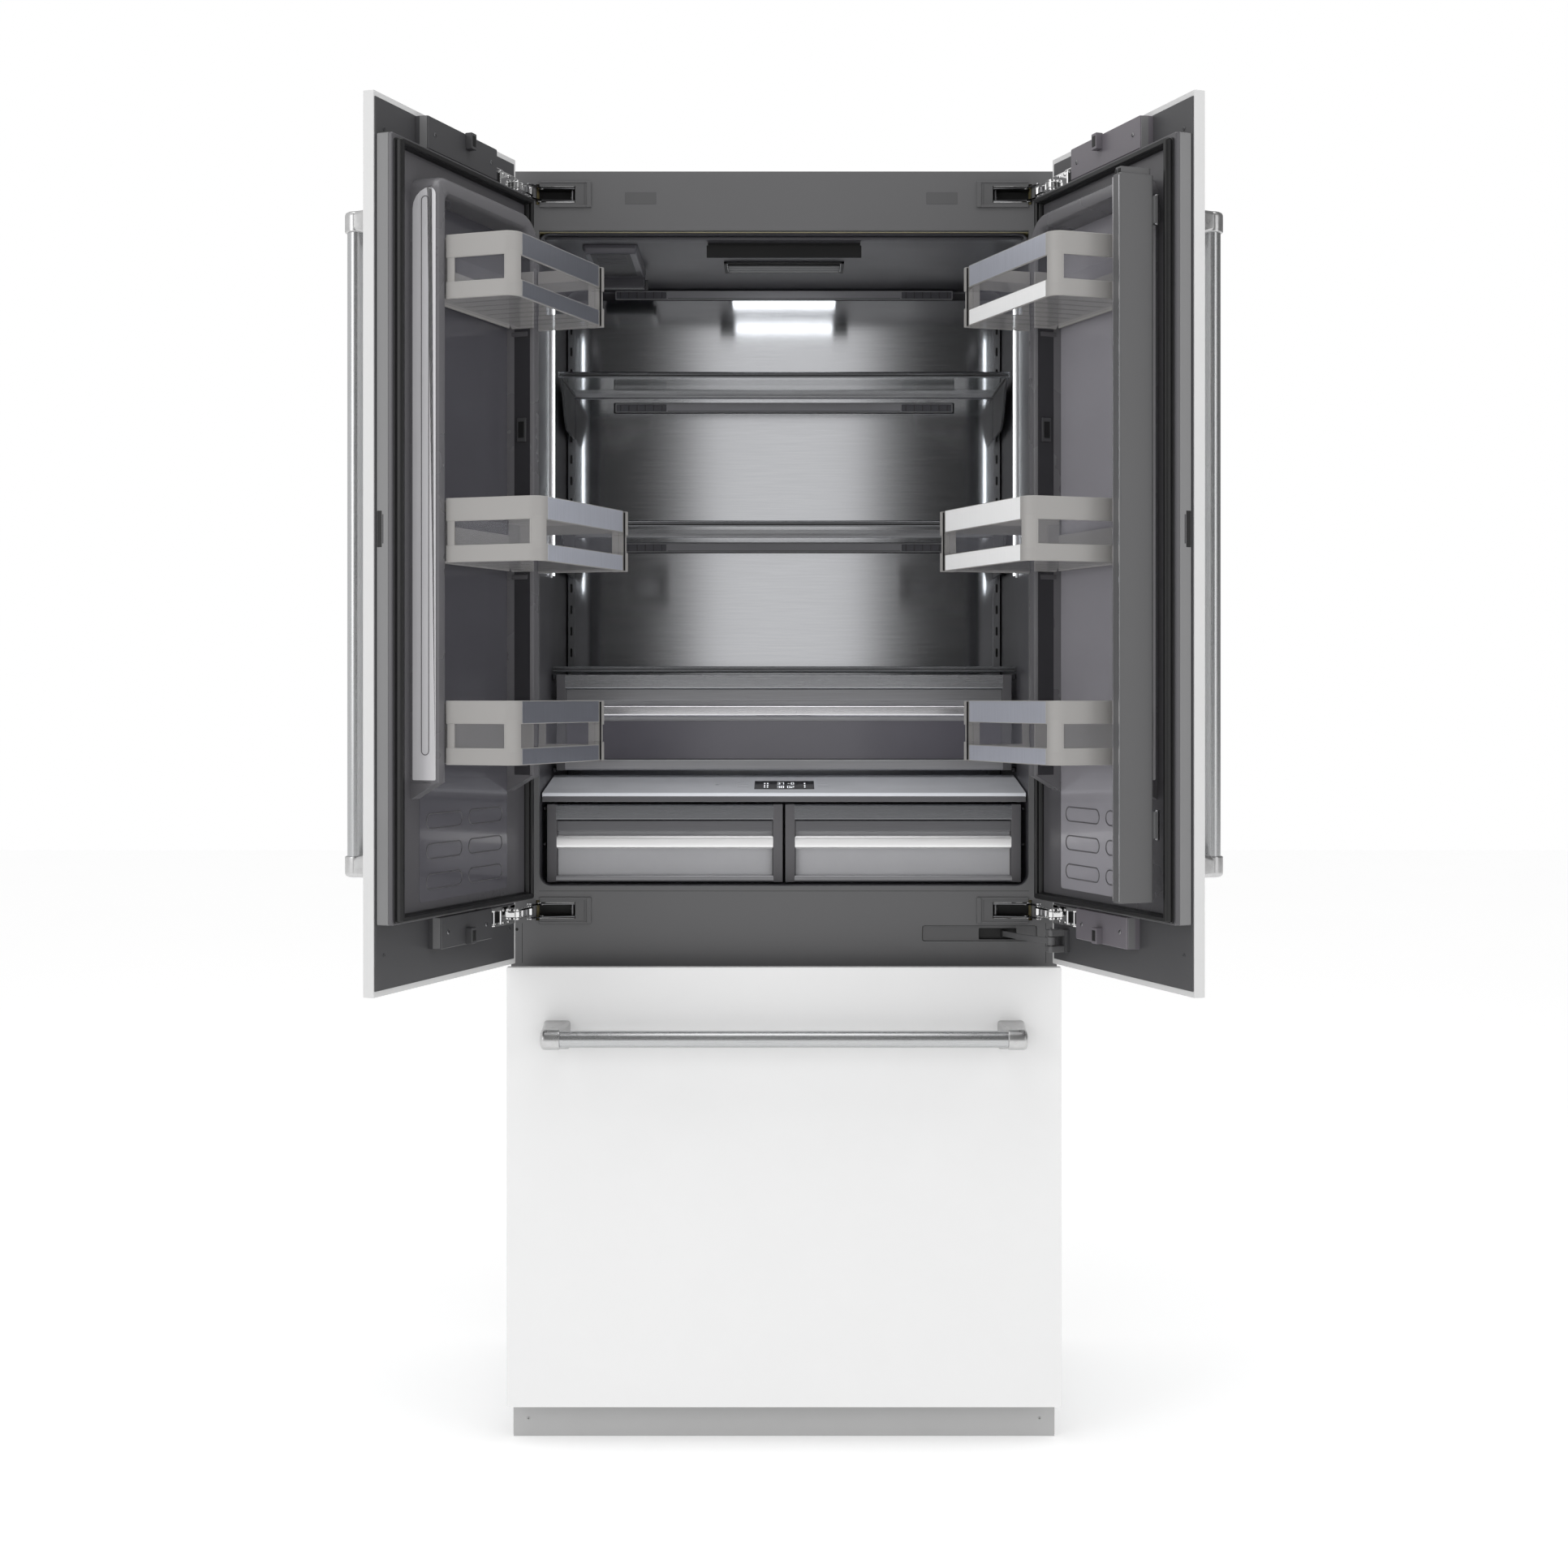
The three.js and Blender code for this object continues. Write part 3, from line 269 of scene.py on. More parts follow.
class Piece:
    """Collects the solids of one piece, in millimetres, into one object."""

    def __init__(self, name, body, nodes=(), slot=None, place=None):
        self.name, self.body, self.nodes, self.slot = name, body, nodes, slot
        self.place = place or Matrix.Identity(4)
        self.bm = bmesh.new()
        self.materials = []

    def take(self, part, mat, bevel=0.0, segments=2):
        bmesh.ops.remove_doubles(part, verts=part.verts, dist=1e-4)
        bmesh.ops.recalc_face_normals(part, faces=part.faces)
        if bevel:
            sharp = [e for e in part.edges if len(e.link_faces) == 2 and e.calc_face_angle(0) > 0.6]
            bmesh.ops.bevel(part, geom=sharp, offset=bevel, segments=segments, profile=0.5,
                            affect="EDGES", clamp_overlap=True)
        if mat not in self.materials:
            self.materials.append(mat)
        for f in part.faces:
            f.material_index = self.materials.index(mat)
        mesh = bpy.data.meshes.new("part")
        part.to_mesh(mesh)
        part.free()
        self.bm.from_mesh(mesh)
        bpy.data.meshes.remove(mesh)

    def block(self, x0, x1, y0, y1, z0, z1, mat, bevel=1.0, segments=2, turn=None):
        x0, x1 = sorted((x0, x1))
        z0, z1 = sorted((z0, z1))
        part = bmesh.new()
        bmesh.ops.create_cube(part, size=1)
        size = (x1 - x0, y1 - y0, z1 - z0)
        centre = Vector(((x0 + x1) / 2, (y0 + y1) / 2, (z0 + z1) / 2))
        for v in part.verts:
            v.co = Vector(c * s for c, s in zip(v.co, size))
            if turn:
                v.co = turn @ v.co
            v.co += centre
        self.take(part, mat, min(bevel, min(size) * 0.45), segments)

    def plate(self, outline, axis, low, high, mat, holes=(), bevel=0.6):
        """An outline with holes, from low to high along an axis."""
        low, high = sorted((low, high))
        part = bmesh.new()
        edges = []
        for loop in (outline, *holes):
            verts = [part.verts.new(lift(p, axis, low)) for p in loop]
            edges += [part.edges.new((verts[i - 1], verts[i])) for i in range(len(verts))]
        bmesh.ops.triangle_fill(part, use_beauty=True, use_dissolve=True, edges=edges)
        made = bmesh.ops.extrude_face_region(part, geom=part.faces[:])
        step = Vector(lift((0, 0), axis, high - low))
        for item in made["geom"]:
            if isinstance(item, bmesh.types.BMVert):
                item.co += step
        self.take(part, mat, bevel)

    def strip(self, rows, mat, closed=False):
        """Faces between open rows of equally many points, closed off at both ends of the rows."""
        part = bmesh.new()
        rows = [[part.verts.new(c) for c in row] for row in rows]
        pairs = list(zip(rows, rows[1:]))
        for a, b in pairs + [(rows[-1], rows[0])] * closed:
            for k in range(len(a) - 1):
                part.faces.new((a[k], a[k + 1], b[k + 1], b[k]))
        for end in (0, -1):
            part.faces.new([row[end] for row in rows])
        self.take(part, mat)

    def loft(self, loops, mat, ring=False):
        """A skin over loops of equally many points. A ring closes on itself."""
        part = bmesh.new()
        rows = [[part.verts.new(p) for p in loop] for loop in loops]
        for i in range(len(rows) if ring else len(rows) - 1):
            a, b = rows[i], rows[(i + 1) % len(rows)]
            for k in range(len(a)):
                part.faces.new((a[k - 1], a[k], b[k], b[k - 1]))
        if not ring:
            part.faces.new(rows[0])
            part.faces.new(rows[-1])
        self.take(part, mat)

    def stack(self, a0, a1, b0, b1, r, n, axis, levels, mat):
        self.loft(level_loops(a0, a1, b0, b1, r, n, axis, levels), mat)

    def turned(self, profile, axis, centre, mat, sides=28):
        """A turned solid: profile is (radius, distance along the axis) from one end to the other."""
        self.loft([[lift(p, axis, h) for p in circle(*centre, r, sides)] for r, h in profile], mat)

    def pin(self, r, low, high, axis, centre, mat, sides):
        self.turned([(r, low), (r, high)], axis, centre, mat, sides)

    def tube(self, points, radius, mat, sides=12):
        path = [Vector(p) for p in points]
        loops = []
        normal = None
        for i, p in enumerate(path):
            along = (path[min(i + 1, len(path) - 1)] - path[max(i - 1, 0)]).normalized()
            if normal is None:
                normal = along.orthogonal().normalized()
            normal = (normal - along * normal.dot(along)).normalized()
            across = along.cross(normal)
            loops.append([p + radius * (a * normal + b * across) for a, b in circle(0, 0, 1, sides)])
        self.loft(loops, mat)

    def bead(self, outline, axis, height, radius, mat):
        """A thin round bead along a closed outline."""
        loop = [lift(p, axis, height) for p in outline]
        self.tube(loop + loop[:1], radius, mat, 6)

    def screw(self, x, y, z, axis, way, mat, r=3.2):
        """A domed screw head whose cross recess is a black cross set on the dome, painted shade; way is the direction
        that it faces.
        """
        a, b, h = {"x": (y, z, x), "y": (x, z, y), "z": (x, y, z)}[axis]
        self.turned([(r, h), (r, h + way * 0.5), (r * 0.8, h + way * 1.1), (r * 0.3, h + way * 1.35)],
                    axis, (a, b), mat, 16)
        # the black cross is painted shade standing in for the recess
        for length, width in ((r * 0.6, 0.35), (0.35, r * 0.6)):
            outline = rounded(a - length, a + length, b - width, b + width, 0.1, 1)
            self.plate(outline, axis, h + way * 0.9, h + way * 1.4, BLACK, bevel=0)

    def done(self):
        mesh = bpy.data.meshes.new(self.name)
        self.bm.transform(Matrix.Diagonal((0.001, 0.001, 0.001, 1)) @ self.place)
        if self.place.determinant() < 0:
            bmesh.ops.reverse_faces(self.bm, faces=self.bm.faces)
        self.bm.to_mesh(mesh)
        self.bm.free()
        for m in self.materials:
            mesh.materials.append(m)
        mesh.polygons.foreach_set("use_smooth", [True] * len(mesh.polygons))
        mesh.set_sharp_from_angle(angle=math.radians(35))
        obj = bpy.data.objects.new(self.name, mesh)
        bpy.context.scene.collection.objects.link(obj)
        # flat faces keep flat normals beside their rounded edges
        obj.modifiers.new("flat_normals", "WEIGHTED_NORMAL").keep_sharp = True
        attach(obj, self.body)
        if self.nodes:
            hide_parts(*self.nodes)


def ring_loops(x0, x1, z0, z1, profile, radius):
    """Loops for a picture-frame ring: profile points are (inward distance, y)."""
    return level_loops(x0, x1, z0, z1, lambda inset: max(radius - inset, 0.4), 3, "y", profile)


# ---- door and drawer panels ----
def panel(name, body, x0, x1, z0, z1, place=None):
    """A white skin folded over a core, with its edge faces painted a slightly darker grey as painted shade."""
    p = Piece(f"{name}_skin", body, [name], "matte_white", place)
    face = [(1.4, -61), (0.42 * 1.4, -60.6), (0.05, -60.1), (0.6, -59)]
    flange = [(0.6, -60), (0, -59.8), (0, -44.2), (0.4, -43.4), (1.2, -43)]
    p.loft(ring_loops(x0, x1, z0, z1, face, 1.6), WHITE)
    # the flange faces carry the painted shade
    p.loft(ring_loops(x0, x1, z0, z1, flange, 1.6), WHITE_EDGE_PAINTED_SHADE)
    p.done()


# ---- dark backing sheets and their hangers ----
def mounting_plate(side):
    body, place = f"{side}_door", door_place(side)
    p = Piece(f"{side}_door_backing", body, [f"{side}_mounting_plate"], "dark_plastic", place)
    p.plate(rounded(-441.8, -3.7, 790.2, 2081.8, 0.6, 2), "y", -42.9, -41, BACKING, bevel=0.4)
    for x in (-425, -28):
        for z in range(840, 2060, 200):
            p.screw(x, -41, z, "y", 1, BACKING, 3)
    hangers = [(-342, -118, 2030.5, 2081, 2057), (-325, -158, 835, 884.5, 836)]
    # the right door's hanger covers are painted a lighter grey: painted reflection
    cover = BACKING if side == "left" else COVER_PAINTED_REFLECTION
    for x0, x1, z0, z1, lug in hangers:
        # a moulded cover with drafted ends
        p.stack(x0, x1, z0, z1, 1.5, 3, "y", [(0, -41.5), (0, -34), (1.5, 0.4, -20.5), (3, 1.6, -19)], cover)
        end = [(-40, z0 + 1.2), (-34, z0 + 1.2), (-21.5, z0 + 2), (-21.5, z1 - 2), (-34, z1 - 1.2), (-40, z1 - 1.2)]
        # the cover's end plates are painted lighter: painted light
        p.plate(end, "x", x1 - 1.4, x1 - 0.1, DOOR_SIDE_PAINTED_LIGHT, bevel=0.2)
        p.block(-251, -235, -20, -8, lug, lug + 25, cover, 1.2)
        p.block(-248.5, -237.5, -10, -7.6, lug + 4, lug + 21, BLACK, 0.8)
        for x in (x0 + 22, x1 - 22):
            p.screw(x, -19, (z0 + z1) / 2, "y", 1, STEEL_DARK, 3.4)
    # the chrome mount of each hinge
    cheek = [(-388, -40), (-388, -35), (-384, -31.5), (-356, -31.5), (-350, -36), (-350, -40)]
    for z in HINGES.values():
        p.block(-442, -346, -41.5, -39.4, z - 15.5, z + 15.5, CHROME, 0.8)
        p.block(-388, -350, -39.6, -38.6, z - 9, z + 9, BLACK, 0.3)
        for dz in (-12.6, 11):
            p.plate(cheek, "z", z + dz, z + dz + 1.6, CHROME, holes=[circle(-369, -35, 2, 12)], bevel=0.3)
        p.pin(2.2, z - 11, z + 11, "z", (-380, -34.6), CHROME, 14)
        p.pin(1.8, z - 11, z + 11, "z", (-358, -35), CHROME, 14)
        p.block(-440.5, -427.5, -40, -33, z - 4.7, z + 4.7, CHROME, 0.8)
        p.turned([(5.6, z - 5), (6.5, z - 4.2), (6.5, z + 4.2), (5.6, z + 5)], "z", (-434, -33), CHROME, 20)
        for x in (-418, -400):
            for dz in (-10, 10):
                p.screw(x, -39.2, z + dz, "y", 1, CHROME, 2.8)
    if side == "right":
        # the cable arm's bracket and pin
        p.block(-416, -386, -41.5, -34, 806, 842, BACKING, 1.2)
        ear = [(-411, -36), (-391, -36), (-391, -12), (-395, -8), (-407, -8), (-411, -12)]
        for z in (806, 832):
            p.plate(ear, "z", z, z + 10, FRAME, bevel=1)
        p.pin(3, 815, 833, "z", ARM_PIN, CHROME, 14)
        p.turned([(4.4, 842), (4.4, 842.5), (3.2, 843)], "z", ARM_PIN, STEEL_DARK, 16)
    p.done()


# ---- inner doors ----
def inner_door(side):
    body, place = f"{side}_door", door_place(side)
    p = Piece(f"{side}_door_liner", body, [f"{side}_inner_door"], "foam_core", place)
    x0, x1, z0, z1 = -443, -6, 886, 2029
    front, back = -40.7, -14.5
    # foam core's outer skin: a side wall painted a lighter grey as painted light, and a bevelled dark liner flange
    p.stack(x0, x1, z0, z1, 2.4, 3, "y", [(0.8, front), (0, front + 0.8), (0, back - 7.5), (0.5, back - 7)],
            DOOR_SIDE_PAINTED_LIGHT)
    p.stack(x0, x1, z0, z1, 3, 3, "y", [(0.5, back - 7), (0, back - 6.5), (0, back - 2.2), (0.8, back - 0.6),
                                        (2.4, back)], DOOR)
    # the notch of the free edge is a black block, painted shade standing in for its recess, with its catch
    p.block(x1 - 4, x1 + 0.2, front + 1, front + 9, 1431, 1484, BLACK, 0.6)
    p.block(x1 - 3, x1 + 0.1, front + 9, front + 12, 1436, 1479, BACKING, 0.6)
    # raised lips: an arch of three runs, open at the bottom, with a soft crown
    left, right, foot, top = -391, -58, 1090, 1976

    def arch(inset, y, radii):
        n = 7
        run = rounded(left + inset, right - inset, foot, top - inset, radii, n)[2 * n + 1:]
        run[0] = (right - inset, foot)
        return [lift(c, "y", y) for c in run + [(left + inset, foot)]]

    steps = ((0, back - 1, 27), (0, 20, 26), (1.2, 27, 24.5), (4, 30.3, 21.5), (8, 31, 17.5))
    outs = [arch(grow, y, (8, 8, 26, 52)) for grow, y, _ in steps]
    ins = [arch(wall, y, (1, 1, 16, 34)) for _, y, wall in steps]
    p.strip(outs + ins[::-1], LIP, closed=True)
    # feet of the lips run out in drafted wedges
    for a0, a1 in ((left, left + 26), (right - 26, right)):
        p.loft([[(a0, back - 1, z), (a1, back - 1, z), (a1, y, z), (a0, y, z)]
                for y, z in ((29, 1091), (back + 1, 1066))], LIP)
    # a thin light grey plate on the free side of the lip, painted light on the face turned to the front light, with a
    # long embossed loop
    p.plate(rounded(-11, 27, 1094, 1958, (2, 2, 12, 30), 5), "x", -58.3, -57.7, LIP_PAINTED_LIGHT, bevel=0.2)
    p.bead(rounded(4, 16, 1131, 1945, 6, 8), "x", -57.7, 0.7, DOOR)
    # recessed field between the lips, with moulded grooves below; on the right door it is painted a much lighter grey
    # as painted reflection
    p.plate(rounded(-364, -84, 912, 1949, (6, 6, 14, 32)), "y", back - 0.4, back + 0.5,
            DOOR_FIELD if side == "left" else DOOR_FIELD_PAINTED_REFLECTION, bevel=0.3)
    for x_in, x_out in ((-346, -236), (-214, -104)):
        for z in (930, 975, 1020):
            p.bead(rounded(x_in, x_out, z, z + 22, 10.9, 8), "y", back + 0.6, 1.0, DOOR)
    # a dark sheet on the inner wall of the hinge-side lip, painted shade, with a small catch
    p.block(-365.2, -364.4, back, 26, 1092, 1936, LIP_PAINTED_SHADE, 0.2)
    p.block(-365.4, -361.6, 4, 20, 1620, 1658, BACKING, 1.4)
    p.block(-362.4, -360.8, 7, 17, 1626, 1652, BLACK, 0.6)
    # ledges that the bins hook over
    for _, floor in BINS.values():
        for x in (-366.5, -86):
            p.block(x - 1.2, x + 3.2, -6, 22, floor - 9, floor - 1.5, DOOR, 1)
    p.done()


def gasket(name, body, x0, x1, z0, z1, place):
    p = Piece(f"{name}_bellows", body, [name], "gasket_rubber", place)
    profile = [(0, -14.2), (0, -12.6), (2.0, -11.8), (1.0, -9.6), (0.6, -6.2), (1.6, -2.6), (3.2, -1.3), (8.2, -1.3),
               (9.8, -2.8), (9.9, -5.4), (8.6, -6.8), (10.4, -8.6), (11.4, -11.4), (12, -12.4), (12, -14.2)]
    p.loft(ring_loops(x0, x1, z0, z1, profile, 5), RUBBER, ring=True)
    p.done()


# ---- handles ----
def handle(name, body, half, z, place=None, bar=BAR_LEVEL):
    """A brushed bar between two cast posts."""
    p = Piece(f"{name}_bar", body, [name], "brushed_steel", place)
    face = FACE - 0.3
    y = FACE - 50
    ends = [(13.2, -half + 18), (13.5, -half + 19), (13.5, half - 19), (13.2, half - 18)]
    p.turned(ends, "x", (y, z), bar, 40)
    cap = ((0.4, 0), (9, 0), (12.5, 0.8), (15.6, 2.6), (16.8, 5), (17, 8), (17, 29), (16.4, 30.6), (14.4, 31.4),
           (13.4, 31.4))
    for s in (-1, 1):
        p.turned([(r, s * (-half + h)) for r, h in cap], "x", (y, z), CAST, 40)
        # the post narrows from its foot, 43 mm long, to the cap, with rounded shoulders
        a0, a1 = sorted((s * -half, s * (-half + 43)))
        loops = level_loops(a0, a1, z - 23, z + 23, 5, 5, "y", [(0.2, 0, face), (0.2, 0, FACE - 3)])
        for t in range(1, 9):
            f = t / 8
            ease = f * f * (3 - 2 * f)
            tall = 21.5 - 5.5 * ease
            a0, a1 = sorted((s * -half, s * (-half + 43 - 11.5 * ease)))
            loops += level_loops(a0, a1, z - tall, z + tall, 4.5 + 3 * f, 5, "y", [(0.3, 0, face + (y - face) * f)])
        p.loft(loops, CAST)
    p.done()


def freezer_handle():
    handle("freezer_handle", "freezer_drawer", 390, 667)


def door_handle(side):
    # drawn level, then stood upright on the door
    stand = Matrix(((0, 0, 1, -69), (0, 1, 0, 0), (-1, 0, 0, 1440.5), (0, 0, 0, 1)))
    handle(f"{side}_door_handle", f"{side}_door", 491.5, 0, door_place(side) @ stand, BAR)


# ---- door bins ----
def door_bin(side, level):
    depth, floor = BINS[level]
    top = floor + BIN_HEIGHT
    name = f"{side}_{level}_door_bin"
    place = door_place(side)
    p = Piece(f"{name}_frame", name, [name], "bin_grey", place)
    x0, x1, y0, y1 = -385, -79, 32.5, depth

    def wrap(d):
        """From the free side's rear end round the front to the hinge side."""
        points = rounded(x0 + d, x1 - d, y0, y1 - d, (0, 0, 22 - d, 22 - d), 7)
        return points[1:] + points[:1]

    for z0, z1 in ((top - 34, top), (floor + 1, floor + 26)):
        section = ((4.2, z0 + 0.5), (3.6, z0), (1.2, z0), (0.4, z0 + 1.1), (0.4, z1 - 1.1), (1.2, z1), (3.6, z1),
                   (4.2, z1 - 0.5))
        p.strip([[lift(c, "z", z) for c in wrap(d)] for d, z in section], BIN, closed=True)

    # the right door's and the middle bins' strips get lighter copies of one metal: painted light and painted highlight
    def front_strip_painted_light(low_band):
        if side == "right" and (level == "middle" or level == "upper" and low_band):
            return BIN_PAINTED_HIGHLIGHT
        return BIN_METAL_PAINTED_LIGHT if level == "middle" or side == "right" else BIN_METAL

    # metal strips let into the front run of both bands, in lighter copies on the right door and the middle bins as
    # painted light, pure white as painted highlight
    for z0, z1, low_band in ((top - 33, top - 1, False), (floor + 2, floor + 25, True)):
        p.block(x0 + 21, x1 - 22, y1 - 1.5, y1 - 0.05, z0, z1, front_strip_painted_light(low_band), 0.4)
    # posts between the bands: at the corner by the free side, at the rear ends, and the notched end piece
    p.stack(x1 - 20, x1 - 1.2, y1 - 20, y1 - 1.2, (1, 3, 18, 1), 6, "z", [(0, floor + 20), (0, top - 28)], BIN)
    for x in (x1 - 4.4, x0 + 1.2):
        p.block(x, x + 3.2, y0 + 1, y0 + 13, floor + 20, top - 28, BIN, 0.8)
    for z0, z1, d in ((floor + 0.5, floor + 30, 0), (floor + 30, top - 38, 2.4), (top - 38, top - 0.5, 0)):
        p.block(x0 + 0.3, x0 + 9, y1 - 24, y1 - 0.1 - d, z0, z1, BIN, 0.7)
    p.block(x0 + 9, x0 + 10.5, y1 - 3.4, y1 - 0.9, floor + 2, top - 2, BLACK, 0.3)
    # hooks that reach in between the lips
    for x in (-363, -89):
        hook = [(-9.5, floor + 14), (-4, floor + 3), (34, floor + 3), (34, top - 3), (-9.5, top - 3)]
        p.plate(hook, "x", x, x + 3, BIN, bevel=0.9)
    p.block(-360, -89, -9.8, -7.2, floor + 4, top - 34, BIN, 0.8)
    p.done()
    # the smoky clear tub
    q = Piece(f"{name}_tub", name, slot="drawer_clear", place=place)
    levels = [(4.6, floor + 0.6), (4.2, floor + 2.2), (4.2, top - 20), (4.6, top - 19.4), (6.2, top - 19.4),
              (6.6, top - 20), (6.8, floor + 4.2), (8, floor + 3)]
    q.stack(x0, x1, 6, y1, lambda d: (4, 4, 21 - d, 21 - d), 6, "z", levels, SMOKE)
    for k in range(1, 8):
        x = x0 + 12 + k * (x1 - x0 - 24) / 8
        q.block(x - 0.8, x + 0.8, 20, y1 - 14, floor + 2.8, floor + 4, SMOKE, 0.3)
    q.done()


# ---- mullion flap and cable arm ----
def mullion_flap():
    p = Piece("mullion_flap_leaf", "mullion_flap", ["mullion_flap"], "frame_grey", door_place("right"))
    x0, x1 = -54.5, -32.5
    p.stack(x0, x1, 6, 62, 3.6, 5, "z", [(0.8, 918), (0, 919.2), (0, 1968.8), (0.8, 1970)], FRAME)
    # cover plates on the broad faces, with a bright edge trim
    p.block(x1 - 0.7, x1 - 0.05, 9, 59, 922, 1966, DOOR, 0.3)
    p.block(x0 + 0.05, x0 + 0.7, 9, 59, 922, 1966, DOOR, 0.3)
    p.block(x1 - 11, x1 - 1.6, 61.2, 61.95, 921, 1967, TRIM_UP, 0.25)
    p.block(x0 + 3, x1 - 12, 61.3, 61.9, 921, 1967, DOOR, 0.2)
    cap = rounded(x0 + 3, x1 - 3, 9, 59, 3, 4)
    slot = rounded(x0 + 8, x1 - 8, 22, 40, 1.5, 3)
    p.plate(cap, "z", 1969, 1980, FRAME, holes=[slot], bevel=0.8)
    p.plate(slot, "z", 1969.5, 1973, BLACK, bevel=0)
    # a bright strip along the leaf's left edge: painted highlight
    p.block(x0 + 0.4, x0 + 2.4, 60.2, 61.9, 921, 1967, TRIM_PAINTED_HIGHLIGHT, 0.4)
    # black patches on the cap: painted shade standing in for its cut-outs
    for a, b in ((x0 + 3.4, x0 + 9), (x1 - 9, x1 - 3.4)):
        p.block(a, b, 58.2, 59.6, 1971.5, 1977, BLACK, 0.3)
    p.block(x0 + 10.5, x1 - 10.5, 58.4, 59.8, 1970.6, 1979, STEEL_DARK, 0.4)
    p.block(x0 + 5, x1 - 5, 44, 46.5, 1976, 1979.9, BLACK, 0.4)
    for z in (1010, 1900):
        p.block(x1 - 9, -29, -1, 8, z, z + 40, FRAME, 1.6)
        p.turned([(3.4, z - 2), (4.2, z - 1), (4.2, z + 41), (3.4, z + 42)], "z", (-33, 1), STEEL_DARK, 16)
    p.done()


def cable_arm():
    reach, angle = 127.6, math.radians(168.6)
    p = Piece("cable_arm_cover", "cable_arm", ["cable_arm"], "frame_grey", door_place("right"))
    loops = []
    for k in range(17):
        t = k / 16
        u, v = reach * t, -24 * t * (1 - t)
        slope = math.atan2(-24 * (1 - 2 * t), reach)
        half = 2.6 - 0.5 * t
        tall = 5 - 0.6 * t
        ring = []
        for c, z in rounded(-half, half, -tall, tall, 1.2, 3):
            a, b = u - c * math.sin(slope), v + c * math.cos(slope)
            ring.append((*swung(ARM_PIN, angle, a, b), 824 + z))
        loops.append(ring)
    p.loft(loops, FRAME)
    p.turned([(6.7, 817), (7.5, 817.8), (7.5, 830.2), (6.7, 831)], "z", ARM_PIN, FRAME, 24)
    tip = [(3.2, 818.2), (3.8, 818.8), (3.8, 829.2), (3.2, 829.8)]
    p.turned(tip, "z", swung(ARM_PIN, angle, reach, 0), BLACK, 18)
    p.done()


